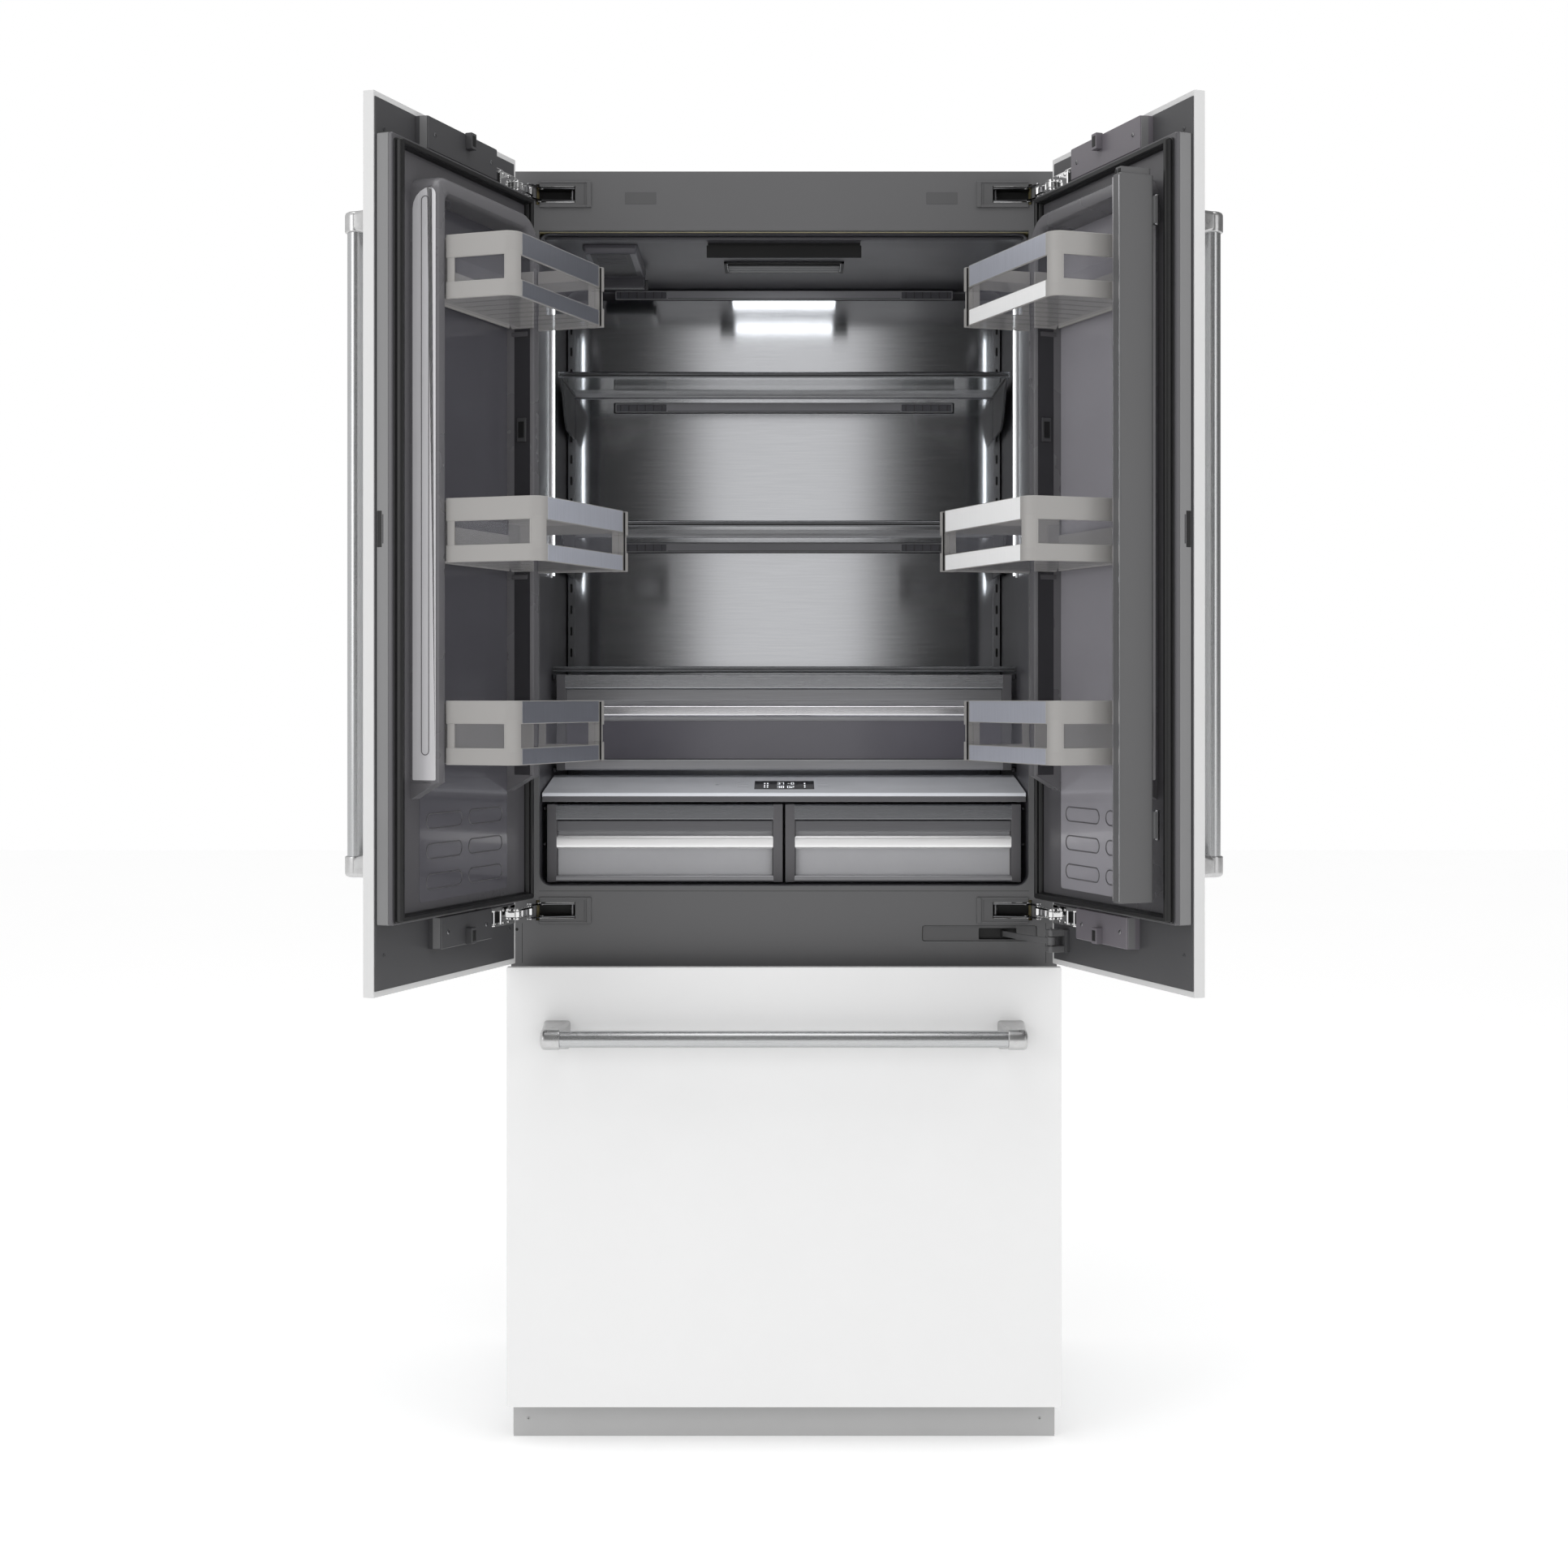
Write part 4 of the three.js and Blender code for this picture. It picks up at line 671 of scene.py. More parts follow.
# ---- concealed hinges ----
def hinge(side, level):
    height = HINGES[level]
    place = fixed_place(side)
    p = Piece(f"{side}_{level}_hinge_body", "cabinet", [f"{side}_{level}_hinge_base"], "hinge_chrome", place)
    z0, z1 = height - 22, height + 22
    # moulded surround, open towards the door, with a raised outer rim
    surround = rounded(-404, -318, z0, z1, (0, 2.5, 2.5, 0), 4)
    surround += [(-404, height + 13.5), (-345, height + 13.5), (-345, height - 13.5), (-404, height - 13.5)]
    p.plate(surround, "y", -1.6, -0.3, FRAME, bevel=0.3)
    p.block(-326, -318.3, -3.3, -1.4, z0 + 0.5, z1 - 0.5, FRAME, 0.9)
    p.block(-404, -326, -3.2, -1.4, z0 + 0.3, z0 + 4, FRAME, 0.8)
    p.block(-404, -326, -2.6, -1.4, z1 - 3.4, z1 - 0.3, FRAME, 0.6)
    # pocket: dark back wall and cheeks, with bright runners along its edges
    p.block(-407, -346, 26.3, 29, height - 13.8, height + 13.8, BLACK, 0.4)
    for s in (-1, 1):
        p.block(-407, -346, 3, 28, height + s * 9.12, height + s * 9.28, BLACK, 0.05)
    p.block(-345.2, -344, -0.6, 28, height - 13, height + 13, BLACK, 0.3)
    arm = [(-407, 26), (-346, 26), (-346, 2), (-378, 0.6), (-400, -3), (-408, -14), (-414, -25.4), (-419, -26.4),
           (-423.2, -23.6), (-424, -17), (-416.6, -8), (-410, -0.4), (-407, 6)]
    for s in (-1, 1):
        runner = [(x, -0.8, height + s * 12.9) for x in (-403, -346.5)]
        p.tube(runner, 0.35, CHROME, 8)
        p.plate(arm[::-1], "z", height + s * 9.3, height + s * 12, CHROME_SHADED,
                holes=[circle(-364, 14, 5, 16), circle(-386, 12, 3.2, 14)], bevel=0.5)
        for head, centre, sides in ((((3.4, 8.9), (3.4, 9.3), (2.2, 9.35)), (-400, 4), 16),
                                    (((4.6, 12), (4.6, 12.9), (3.4, 13.4), (1.6, 13.5)), LINK_PIN, 18),
                                    (((3.6, 12), (3.6, 12.6), (2.4, 13)), (-404, 1.5), 16)):
            p.turned([(r, height + s * h) for r, h in head], "z", centre, CHROME, sides)
    for low, high in ((8.4, 12.5), (-12.5, -8.4)):
        p.pin(3, height + low, height + high, "z", LINK_PIN, CHROME, 16)
    p.pin(2.6, height - 9.4, height + 9.4, "z", (-350, 12), STEEL_DARK, 14)
    for x in (-330, -322.5):
        p.block(x, x + 0.5, -1.75, -1.5, z0 + 5, z1 - 5, BLACK, 0.1)
    p.screw(-352, 26.3, height, "y", -1, STEEL_DARK, 3)
    p.done()
    # the link: two cheeks with a cross bar, rollers at both ends and an adjusting screw
    q = Piece(f"{side}_{level}_hinge_arm", f"{side}_hinge_links", [f"{side}_{level}_hinge_link"], "hinge_chrome", place)
    angle = math.radians(-108.8)

    def turn(u, v=0):
        return swung(LINK_PIN, angle, u, v)

    cheek = [turn(*c) for c in rounded(-5.4, 55, -5.4, 5.4, 5.3, 6)]
    window = [turn(*c) for c in rounded(13, 37, -2.4, 2.4, 2.3, 4)]
    for low, high in ((5.3, 8.3), (-8.3, -5.3)):
        q.plate(cheek, "z", height + low, height + high, CHROME, holes=[window], bevel=0.5)
    for roller, centre, mat, sides in ((((5.0, -8), (5.5, -7.4), (5.5, 7.4), (5.0, 8)), LINK_PIN, CHROME, 22),
                                       (((2.6, -7), (2.6, 7)), turn(30), CHROME, 16),
                                       (((3.6, -5), (4.2, -4.4), (4.2, 4.4), (3.6, 5)), turn(14), STEEL_DARK, 18),
                                       (((3.8, -8.3), (3.8, -8.8), (2.4, -9.0)), turn(49.6), CHROME, 16),
                                       (((3.8, 8.3), (3.8, 8.8), (2.4, 9.0)), turn(49.6), CHROME, 16)):
        q.turned([(r, height + h) for r, h in roller], "z", centre, mat, sides)
    q.done()


# ---- cabinet shell and face frame ----
def outer_cabinet():
    p = Piece("cabinet_skin", "cabinet", ["outer_cabinet"], "cabinet_steel")
    h, z0, z1, depth = 449, 46, 2084, 549
    # one wrapped sheet for sides and top, with rolled corners
    outer = [(-h, z0)]
    outer += [(-h + 3 - 3 * math.cos(t), z1 - 3 + 3 * math.sin(t)) for t in (0, 0.5, 1.05, math.pi / 2)]
    outer += [(-a, b) for a, b in outer[::-1]]
    inner = [(a * (h - 2) / h, b if b == z0 else b - 2) for a, b in outer]
    p.plate(outer + inner[::-1], "y", 14.3, depth - 1.2, CABINET, bevel=0.25)
    # back and floor sheets, folded over the wrap's edges, with pressed panels
    p.plate(rounded(-h, h, 332, z1, 2, 3), "y", depth - 1.4, depth - 0.2, GALVANISED, bevel=0.2)
    p.block(-h + 2, h - 2, 15, depth - 2, z0, z0 + 1.5, GALVANISED, 0.3)
    for low, high in ((420, 1150), (1230, 1990)):
        for x0, x1 in ((-400, -20), (20, 400)):
            p.bead(rounded(x0, x1, low, high, 30, 6), "y", depth - 0.55, 0.5, GALVANISED)
    for x in (-441, 441):
        for z in range(380, 2060, 210):
            p.screw(x, depth - 1.2, z, "y", 1, STEEL_DARK, 3.2)
    for x in (-300, -100, 100, 300):
        p.screw(x, depth - 1.2, 2074, "y", 1, STEEL_DARK, 3.2)
        p.screw(x, depth - 1.2, 342, "y", 1, STEEL_DARK, 3.2)
    for s in (-1, 1):
        # shallow stiffening beads pressed into the sides
        for y in (180, 380):
            p.tube([(s * (h - 0.4), y, 160), (s * (h - 0.4), y, 1980)], 0.4, CABINET, 6)
        p.block(s * 120 - 45, s * 120 + 45, 60, 66, z1 - 0.4, z1, GALVANISED, 0.2)
    p.done()


def face_frame():
    p = Piece("face_frame_moulding", "cabinet", ["face_frame"], "frame_grey")
    holes = [rounded(-405, 405, 903, 1986.5, (20, 20, 0.5, 0.5), 6), rounded(-405, 405, 120, 745, 4, 3)]
    for z in HINGES.values():
        for a, b in ((-410, -343), (343, 410)):
            holes.append([(a, z - 17), (b, z - 17), (b, z + 17), (a, z + 17)])
    holes.append(rounded(228, 418, 812, 838, 4, 4))
    p.plate(rounded(-451, 451, 62, 2084, 2, 3), "y", 0.05, 14, FRAME, holes=holes, bevel=0.8)
    # rounded beads around the doorway
    p.bead(rounded(-405.5, 405.5, 902.5, 1987, (20.5, 20.5, 1, 1), 7), "y", 0.9, 0.85, FRAME)
    # flush blanking caps of the header, and the seams of the side strips
    for a, b in ((-263, -211), (235, 287)):
        cap = rounded(a, b, 2029.4, 2049.6, 1.5, 3)
        p.plate(cap, "y", -0.02, 0.2, DOOR, bevel=0.08)
        p.plate(rounded(a + 0.8, b - 0.8, 2030.2, 2048.8, 1.2, 3), "y", -0.1, 0.1, FRAME_CAP, bevel=0.08)
    for s in (-1, 1):
        p.block(s * 432.5 - 0.35, s * 432.5 + 0.35, -0.05, 0.3, 776, 842, BLACK, 0.05)
        p.turned([(2.6, 0.02), (2.6, -0.06), (2.0, -0.1)], "y", (s * 441.5, 831.5), BLACK, 18)
    p.block(-405, 405, -0.05, 0.3, 894.6, 895.2, BLACK, 0.05)
    # cover of the cable channel, with the arm's slot
    slot = rounded(322, 384, 814.5, 833.5, 2, 3)
    p.plate(rounded(228.6, 417.4, 812.6, 837.4, 3.6, 4), "y", 2.6, 4.2, FRAME, holes=[slot], bevel=0.4)
    # a black plate behind the slot and black strips in the gaps along the cover's edges: painted shade and painted
    # shadow
    p.block(320, 386, 11, 12, 813, 835, BLACK, 0.2)
    for z0, z1 in ((812.2, 812.6), (837.4, 837.8)):
        p.block(228, 418, 2.2, 3.4, z0, z1, BLACK, 0.05)
    p.done()


def fridge_liner():
    p = Piece("fridge_liner_shell", "cabinet", ["fridge_liner"], "liner_grey")
    h, floor, ceiling, back, front = HALF_CAVITY, 903, 1983, 482, 14.6

    # a tub with rounded rear corners, walls as one skin of real thickness
    def section(y, grow, r):
        top = ceiling if y <= 345 else ceiling - 10 * (y - 345) / (back - 345)
        return [(a, y, b) for a, b in rounded(-h - grow, h + grow, floor - grow, top + grow, r, 6)]

    inside = [section(y, 0, r) for y, r in ((front, 16), (60, 16), (345, 16), (back - 14, 16), (back - 4, 18))]
    rear_in = [(a * 0.99, back, floor + (b - floor) * 0.992 + 4) for a, y, b in section(back, 0, 22)]
    outside = [section(y, 1.9, r) for y, r in ((front, 17.9), (60, 17.9), (345, 17.9), (back - 2, 17.9))]
    rear_out = [(a, back + 2.4, b) for a, _, b in section(back, 1, 18)]
    p.loft([rear_in, *inside[::-1], *outside, rear_out], LINER)
    # shelf ribs and runner rails on the side walls
    for s in (-1, 1):
        x = s * 404.4
        for z0, z1 in ((1246, 1256), (1084, 1092)):
            p.block(x, s * 398, 205, 455, z0, z1, LINER, 2)
        for z in (966, 1026):
            p.block(x, s * 399.5, 60, 440, z, z + 5, LINER, 1.5)
    # a step across the ceiling behind the lamp strip, and the lamp's frame
    p.block(-398, 398, 30, 56, 1977, 1982.8, LINER, 2)
    for x0, x1, y0, y1, z in ((-106, 106, 244, 249.6, 1979.5), (-106, 106, 330.4, 336, 1981),
                              (-106, -100.3, 244, 336, 1979.5), (100.3, 106, 244, 336, 1979.5)):
        p.block(x0, x1, y0, y1, z, 1982.8, BLACK, 0.8)
    p.done()


def rear_wall():
    p = Piece("rear_wall_sheet", "cabinet", ["rear_steel_panel"], "brushed_steel")
    p.plate(rounded(-389.4, 389.4, 1050.6, 1953.8, 1, 2), "y", 465.05, 466.4, WALL,
            holes=[rounded(-317, 317, z - 10, z + 10, 2, 3) for z in (1753.5, 1493.5)], bevel=0.2)
    for s in (-1, 1):
        holes = [rounded(-398, -394, z, z + 16, 1.9, 4) for z in range(1290, 1920, 40)]
        if s > 0:
            holes = [[(-a, b) for a, b in h] for h in holes]
        a, b = sorted((s * 389.4, s * 401.8))
        p.plate(rounded(a, b, 1050.8, 1953.6, 0), "y", 463.4, 466.4, WALL, holes=holes, bevel=0.5)
        p.block(s * 393, s * 399, 467, 468, 1280, 1930, BLACK, 0.1)
    p.done()
    q = Piece("air_outlet_bars", "cabinet", ["air_duct"], "liner_grey")
    q.block(-60, 60, 467.5, 478, 1480, 1968, LINER, 3)
    outlets = ((-312, -219), (219, 312))
    for z in (1963.5, 1753.5, 1493.5):
        top = min(z + 8.5, 1971.6)
        recess = [rounded(a, b, z - 6.6, top - 1.9, 1.4, 3) for a, b in outlets]
        q.plate(rounded(-314, 314, z - 8.5, top, 2, 3), "y", 461, 464.2, DUCT_BAR, holes=recess, bevel=0.7)
        q.block(-313, 313, 464, 469.5, z - 8, top - 0.4, LINER_LIGHT, 0.5)
        for a, b in outlets:
            for k in range(6):
                x = a + 8 + k * (b - a - 16) / 5
                q.block(x - 1, x + 1, 461.8, 464.3, z - 6.4, top - 2.1, BACKING, 0.3)
        q.block(-216, 216, 460.9, 461.3, z - 6.5, z - 5.7, BLACK, 0.1)
    q.done()


def interior_lights():
    p = Piece("ceiling_lamp_lens", "cabinet", ["ceiling_lamp"], "light_lens")
    # the lens is a row of prisms: dark faces to the front, lit slopes to the back
    for k in range(4):
        y = 250.4 + k * 20
        p.plate([(y + 1.4, 1976.1), (y + 19.6, 1982.4), (y + 1.4, 1982.4)], "x", -99, 99, LAMP, bevel=0)
        p.plate([(y, 1976), (y + 1.6, 1976), (y + 1.6, 1982.6), (y, 1982.6)], "x", -99.6, 99.6, BLACK, bevel=0.3)
    p.done()
    for side in SIDES:
        q = Piece(f"{side}_light_bar", "cabinet", [f"{side}_led_strip"], "light_lens", fixed_place(side))
        q.block(-404.6, -400.4, 176, 190, 1422, 1930, TRAY, 0.8)
        q.block(-401, -398, 177.4, 188.6, 1425, 1927, LED, 1.2)
        for z in (1422, 1926):
            q.block(-404.4, -397.9, 176.2, 189.8, z, z + 4, LINER, 0.7)
        q.done()
    s = Piece("ceiling_strip_plate", "cabinet", ["ceiling_strip"], "dark_plastic")
    s.plate(rounded(-130, 130, 1953.1, 1974, 1.2, 3), "y", 59.2, 61, BLACK, bevel=0.4)
    s.block(-128, 128, 61, 65.4, 1956, 1982.6, BLACK, 0.8)
    # the strip's rear face glows though it is no lamp: a painted glow that fills the lamp's reflection in the rear wall
    s.block(-99, 99, 65.2, 65.95, 1958, 1980, LAMP, 0.3)      # it lights the rear wall
    s.done()


def filter_housing():
    p = Piece("filter_housing_shell", "cabinet", ["filter_housing"], "liner_grey")
    p.loft([[(a, b, z) for a, b in rounded(-342 + d, -249 - d, 100 + d * 2, 341 - d, 5, 4)]
            for d, z in ((0, 1982.7), (0, 1978), (2.5, 1971), (5, 1969))], LINER_LIGHT)
    p.loft([[(a, b, z) for a, b in rounded(-342 + d, -250 - d, 322 + d, 341 - d, 3, 3)]
            for d, z in ((0.5, 1972), (0, 1968), (0, 1954), (1.6, 1951))], LINER)
    p.block(-250.4, -245, 334, 338, 1950, 1968, BACKING, 1)
    p.block(-330, -262, 110, 300, 1968.4, 1969.6, BACKING, 0.6)
    for k in range(7):
        p.block(-322, -270, 122 + k * 12, 126 + k * 12, 1967.9, 1969, LINER, 0.5)
    p.done()


SEGMENTS = {"0": "abcdef", "2": "abged", "3": "abgcd", "7": "abc", "8": "abcdefg", "-": "g"}


def digit(flat, char, x, y0, w, h):
    """A generic seven-segment figure lying on the control glass."""
    half = h / 2
    t = 0.34
    runs = {"a": (x, x + w, h, h), "g": (x, x + w, half, half), "d": (x, x + w, 0, 0),
            "b": (x + w, x + w, half, h), "c": (x + w, x + w, 0, half), "f": (x, x, half, h), "e": (x, x, 0, half)}
    for key in SEGMENTS[char]:
        a0, a1, b0, b1 = runs[key]
        flat(a0 - t, a1 + t, y0 + b0 - t, y0 + b1 + t)


def control_panel():
    p = Piece("control_panel_glass", "cabinet", ["control_panel"], "dark_plastic")
    h = 402.3
    # rounded front edge, then the glass rises towards the back
    side = [(25.2, 1041.2), (24.2, 1042.4), (24.1, 1054.2), (25, 1055.6), (27, 1056.5), (217, 1078.2),
            (219, 1079), (225.8, 1079), (225.8, 1050.2), (454.8, 1050), (454.8, 1041.2)]
    p.plate(side, "x", -h, h, PANEL_GLASS, bevel=0.5)
    p.block(-h, h, 23.9, 26, 1041.4, 1049.6, STILE, 0.7)
    p.block(-h + 1, h - 1, 23.95, 24.8, 1049.6, 1050.4, BLACK, 0.1)
    slope = 22.5 / 192

    def flat(x0, x1, y0, y1, mat=GLOW, up=0.24):
        z = 1056.62 + (y0 + y1) / 2 * slope - 27 * slope
        turn = Matrix.Rotation(math.atan(slope), 3, "X")
        p.block(x0, x1, y0, y1, z - up, z + up, mat, 0.04, 1, turn)

    flat(-50, 51, 62, 150, DISPLAY, 0.16)
    for text, x, y in (("37", -11, 112), ("-0", 6, 112), ("38", -11, 74), ("02", 6, 74)):
        for k, char in enumerate(text):
            digit(flat, char, x + k * 6.5, y, 4, 20)
    for x in (-34, -29, 34):
        for y in (80, 100, 120):
            flat(x, x + 2.2, y, y + 6)
    for y in (84, 112, 136):
        for x in (-79, -68):
            flat(x, x + 8, y, y + 2.4, ICON, 0.12)
    for y in (92, 126):
        flat(59, 74, y, y + 2.4, ICON, 0.12)
    flat(-117, -110, 106, 120, ICON, 0.12)
    p.done()


# ---- shelves and drawers ----
def shelf(name, top):
    p = Piece(f"{name}_frame", name, [name], "shelf_glass")
    h, y0 = 393, 195
    p.stack(y0, y0 + 9, top - 10, top, (1.5, 1, 1, 3.5), 4, "x", [(0, -h), (0, h)], TRIM)
    p.block(-h + 1, h - 1, y0 - 0.1, y0 + 0.8, top - 8.4, top - 6.2, BLACK, 0.2)
    # the rear trim takes the darker copy: painted shade
    p.block(-h, h, 449.5, 457.8, top - 10, top + 3.6, TRIM_PAINTED_SHADE, 1.4)
    p.block(-h + 3, h - 3, y0 + 9, y0 + 15, top - 9, top - 7, BACKING, 0.6)
    for s in (-1, 1):
        side = [(y0, top - 10), (y0 + 30, top - 14), (y0 + 58, top - 27), (286, top - 64), (312, top - 81),
                (332, top - 86), (461.6, top - 86), (461.6, top - 0.4), (y0 + 1, top - 0.4)]
        p.plate(side[::-1], "x", s * h, s * (h - 4.4), BACKING, bevel=0.9)
        p.block(s * (h - 4.2), s * (h - 7), y0 + 12, 452, top - 9.6, top - 7.4, BACKING, 0.6)
        for z in (top - 80, top - 34):
            p.block(s * (h - 0.4), s * (h - 3.6), 461, 462.6, z, z + 12, STEEL_DARK, 0.4)
    p.done()
    q = Piece(f"{name}_pane", name, slot="shelf_glass")
    pane = [(0.6, 0, top - 7), (0, top - 6.4), (0, top - 2.6), (0.6, 0, top - 2)]
    q.stack(-h + 5, h - 5, y0 + 8, 450, 1.5, 3, "z", pane, GLASS)
    q.done()


def deli_cover():
    p = Piece("deli_cover_pane", "cabinet", ["deli_cover"], "shelf_glass")
    pane = [(0.6, 0, 1263), (0, 1263.6), (0, 1267.4), (0.6, 0, 1268)]
    p.stack(-401.8, 401.8, 196.5, 461.6, 2, 3, "z", pane, GLASS)
    p.stack(188.2, 197.2, 1260, 1269, (1.5, 1, 1, 3), 4, "x", [(0, -402.3), (0, 402.3)], TRIM)
    p.block(-401, 401, 188, 189, 1262, 1263.4, BLACK, 0.2)
    # the rear trim takes the darker copy: painted shade
    p.block(-402.3, 402.3, 455, 461.8, 1261, 1268.6, TRIM_PAINTED_SHADE, 1)
    p.done()


def open_box(p, x0, x1, y0, y1, z0, z1, wall, mat, r, rim=1.6):
    """A moulded tub with rounded corners and a rolled rim, open at the top."""
    levels = [(1.6, z0 + 0.1), (0.4, z0 + 1.4), (0.2, z0 + 4), (0.2, z1 - 2.4), (0, z1 - 1.6), (0, z1 - 0.5),
              (0.5, z1), (wall + rim - 0.5, z1), (wall + rim, z1 - 0.6), (wall + 0.4, z1 - 2.4),
              (wall + 0.6, z0 + wall + 5), (wall + 2, z0 + wall + 1), (wall + 6, z0 + wall)]
    p.stack(x0, x1, y0, y1, lambda d: max(r - d * 0.5, 1), 5, "z", levels, mat)


def drawer(name, x0, x1, z0, z1, front, back, tub_top, rails):
    p = Piece(f"{name}_front", name, [name], "drawer_clear")
    y1 = front + 14
    stile = 16.5
    # stiles with a stepped inner edge
    for a, b, inner in ((x0, x0 + stile, 1), (x1 - stile, x1, -1)):
        p.block(a, b, front + 0.2, y1, z0, z1, STILE, 1.6)
        edge = b if inner > 0 else a
        p.block(edge - inner * 3, edge + inner * 1.2, front + 2.4, y1, z0 + 1, z1 - 1, BACKING, 0.5)
    # rails: each is (low, high, set-back, finish, crown); a finish may be a lit or shaded copy of one brushed metal,
    # painted light and painted shade
    for low, high, setback, mat, crown in rails:
        ya, yb = front + setback, y1 - 0.6
        run = [(0, x0 + stile - 1), (0, x1 - stile + 1)]
        p.stack(ya, yb, low, high, (crown, 0.6, 0.6, crown), 4, "x", run, mat)
    p.done()
    q = Piece(f"{name}_tub", name, slot="drawer_clear")
    open_box(q, x0 + 6.2, x1 - 6.2, front + 13.4, back - 0.2, z0 + 3.2, tub_top, 2.2, CLEAR, 9)
    for x in (x0 + 60, (x0 + x1) / 2, x1 - 60):
        q.block(x - 1, x + 1, front + 30, back - 20, z0 + 5, z0 + 6.4, CLEAR, 0.4)
    for x in (x0 + 4, x1 - 4):
        q.block(x - 2.8, x + 2.8, front + 16, back - 4, tub_top - 7, tub_top - 1.5, CLEAR, 1)
    q.done()


def deli_drawer():
    # the set-back rail's metal is painted shade and the crowned rail's a painted highlight
    rails = [(1230, 1254.6, 0.4, TRIM_DELI, 2.5), (1208.5, 1229.6, 3.6, TRIM_PAINTED_SHADE, 1.5),
             (1181, 1201.5, 1.2, TRIM_PAINTED_HIGHLIGHT, 5), (1107.5, 1174, 6.5, SMOKE_PANEL, 1),
             (1088.4, 1106.8, 0.4, TRIM_FOOT, 3)]
    drawer("deli_drawer", -396, 396, 1088, 1255, 190, 452, 1228, rails)


def crisper(side):
    x0, x1 = (-396, -2) if side == "left" else (2, 396)
    # the set-back rail's metal is painted shade and the crowned rail's painted light
    rails = [(1010, 1036, 0.4, TRIM, 2.5), (991, 1009.4, 3.6, TRIM_SHADE, 1.5),
             (961.5, 984.5, 1.2, TRIM_LIT, 6), (906.4, 917.6, 0.4, TRIM_FOOT, 3)]
    drawer(f"{side}_crisper", x0, x1, 906, 1036.5, 38, 432, 1006, rails)


# ---- freezer drawer ----
def freezer_door():
    p = Piece("freezer_door_liner", "freezer_drawer", ["freezer_inner_door"], "foam_core")
    skin = [(0.8, -42.7), (0, -42), (0, -22), (0.8, -21.4), (0.2, -20.8), (0.2, -16), (1.4, -14.5)]
    p.stack(-437, 437, 100, 752, 3, 3, "y", skin, DOOR)
    p.stack(-380, 380, 140, 700, lambda d: 22 + d, 6, "y", [(0, -15.5), (2, 18), (5, 27), (12, 30)], DOOR)
    for z in (230, 330, 430, 530, 620):
        p.block(-330, 330, 29.2, 30, z, z + 40, DOOR, 0.4)
    p.done()


def freezer_boxes():
    for node, body, box in (("freezer_basket", "freezer_drawer", (-370, 370, 31, 290, 130, 400)),
                            ("freezer_tray", "freezer_tray", (-375, 375, 36, 436, 470, 600))):
        p = Piece(f"{node}_moulding", body, [node], "white_plastic")
        x0, x1, y0, y1, z0, z1 = box
        open_box(p, x0, x1, y0 + 0.2, y1, z0, z1, 2.6, TRAY, 16, 5)
        for k in range(9):
            x = x0 + 40 + k * (x1 - x0 - 80) / 8
            p.block(x - 6, x + 6, y0 + 0.1, y0 + 1.2, z0 + 25, z1 - 30, TRAY, 0.5)
            p.block(x - 6, x + 6, y1 - 1, y1 - 0.05, z0 + 25, z1 - 30, TRAY, 0.4)
        for y in range(y0 + 40, y1 - 20, 44):
            for x in (x0 + 0.05, x1 - 1.1):
                p.block(x, x + 1.05, y - 5, y + 5, z0 + 25, z1 - 30, TRAY, 0.4)
            p.block(x0 + 20, x1 - 20, y - 1, y + 1, z0 + 2.4, z0 + 4, TRAY, 0.4)
        p.done()
    for side in SIDES:
        q = Piece(f"{side}_runner_rail", "freezer_drawer", [f"{side}_freezer_runner"], "brushed_steel",
                  fixed_place(side))
        shape = [(-398, 425), (-384.2, 425), (-384.2, 429), (-387, 429), (-387, 451), (-384.2, 451),
                 (-384.2, 455), (-398, 455), (-398, 450), (-395, 450), (-395, 430), (-398, 430)]
        q.plate(shape, "y", 31.2, 439.8, GALVANISED, bevel=0.5)
        for y in (50, 140, 230, 320, 410):
            q.turned([(5, -387.2), (5, -386.6), (3, -386)], "x", (y, 440), STEEL_DARK, 18)
        q.done()


def freezer_liner():
    p = Piece("freezer_liner_shell", "cabinet", ["freezer_liner"], "liner_grey")
    h = HALF_CAVITY
    # five walls as overlapping slabs with rounded edges
    for y0, y1, z0, z1 in ((14.6, 302, 117.6, 120), (299.8, 302.4, 118, 335), (300, 480, 332.6, 335),
                           (478, 480.4, 333, 747), (14.6, 480, 745, 747.4)):
        p.block(-h - 2.4, h + 2.4, y0, y1, z0, z1, LINER, 0.8)
    side = [(14.6, 118), (302, 118), (302, 333), (480, 333), (480, 747), (14.6, 747)]
    for s in (-1, 1):
        p.plate(side, "x", s * h, s * (h + 2.4), LINER, bevel=0.5)
        p.block(s * 404.6, s * 399.4, 30, 450, 418, 423, LINER, 1)
        p.block(s * 404.6, s * 399.4, 30, 450, 457, 462, LINER, 1)
    p.done()


# ---- base and machinery ----
def toe_kick():
    p = Piece("toe_kick_sheet", "cabinet", ["toe_kick"], "kick_grey")
    side = [(14, 0.02), (14, 1.8), (-15.5, 1.8), (-17, 3.4), (-17, 54.6), (-15.6, 56), (-4, 56), (-4, 57.9),
            (-16.4, 57.9)]
    side += [(-16.4 - 2.5 * math.sin(t), 55.4 + 2.5 * math.cos(t)) for t in (0.4, 0.9, 1.3)]
    side += [(-18.95, 54), (-18.95, 3)]
    side += [(-16.4 - 2.5 * math.cos(t), 2.6 - 2.58 * math.sin(t)) for t in (0.3, 0.8, 1.3)]
    p.plate(side[::-1], "x", -444.6, 444.6, KICK, bevel=0.2)
    for s in (-1, 1):
        p.block(s * 444.9, s * 443.4, -18.6, -16.8, 3, 56, KICK, 0.5)
        p.screw(s * 420, -18.6, 30, "y", -1, KICK, 3)
    p.done()


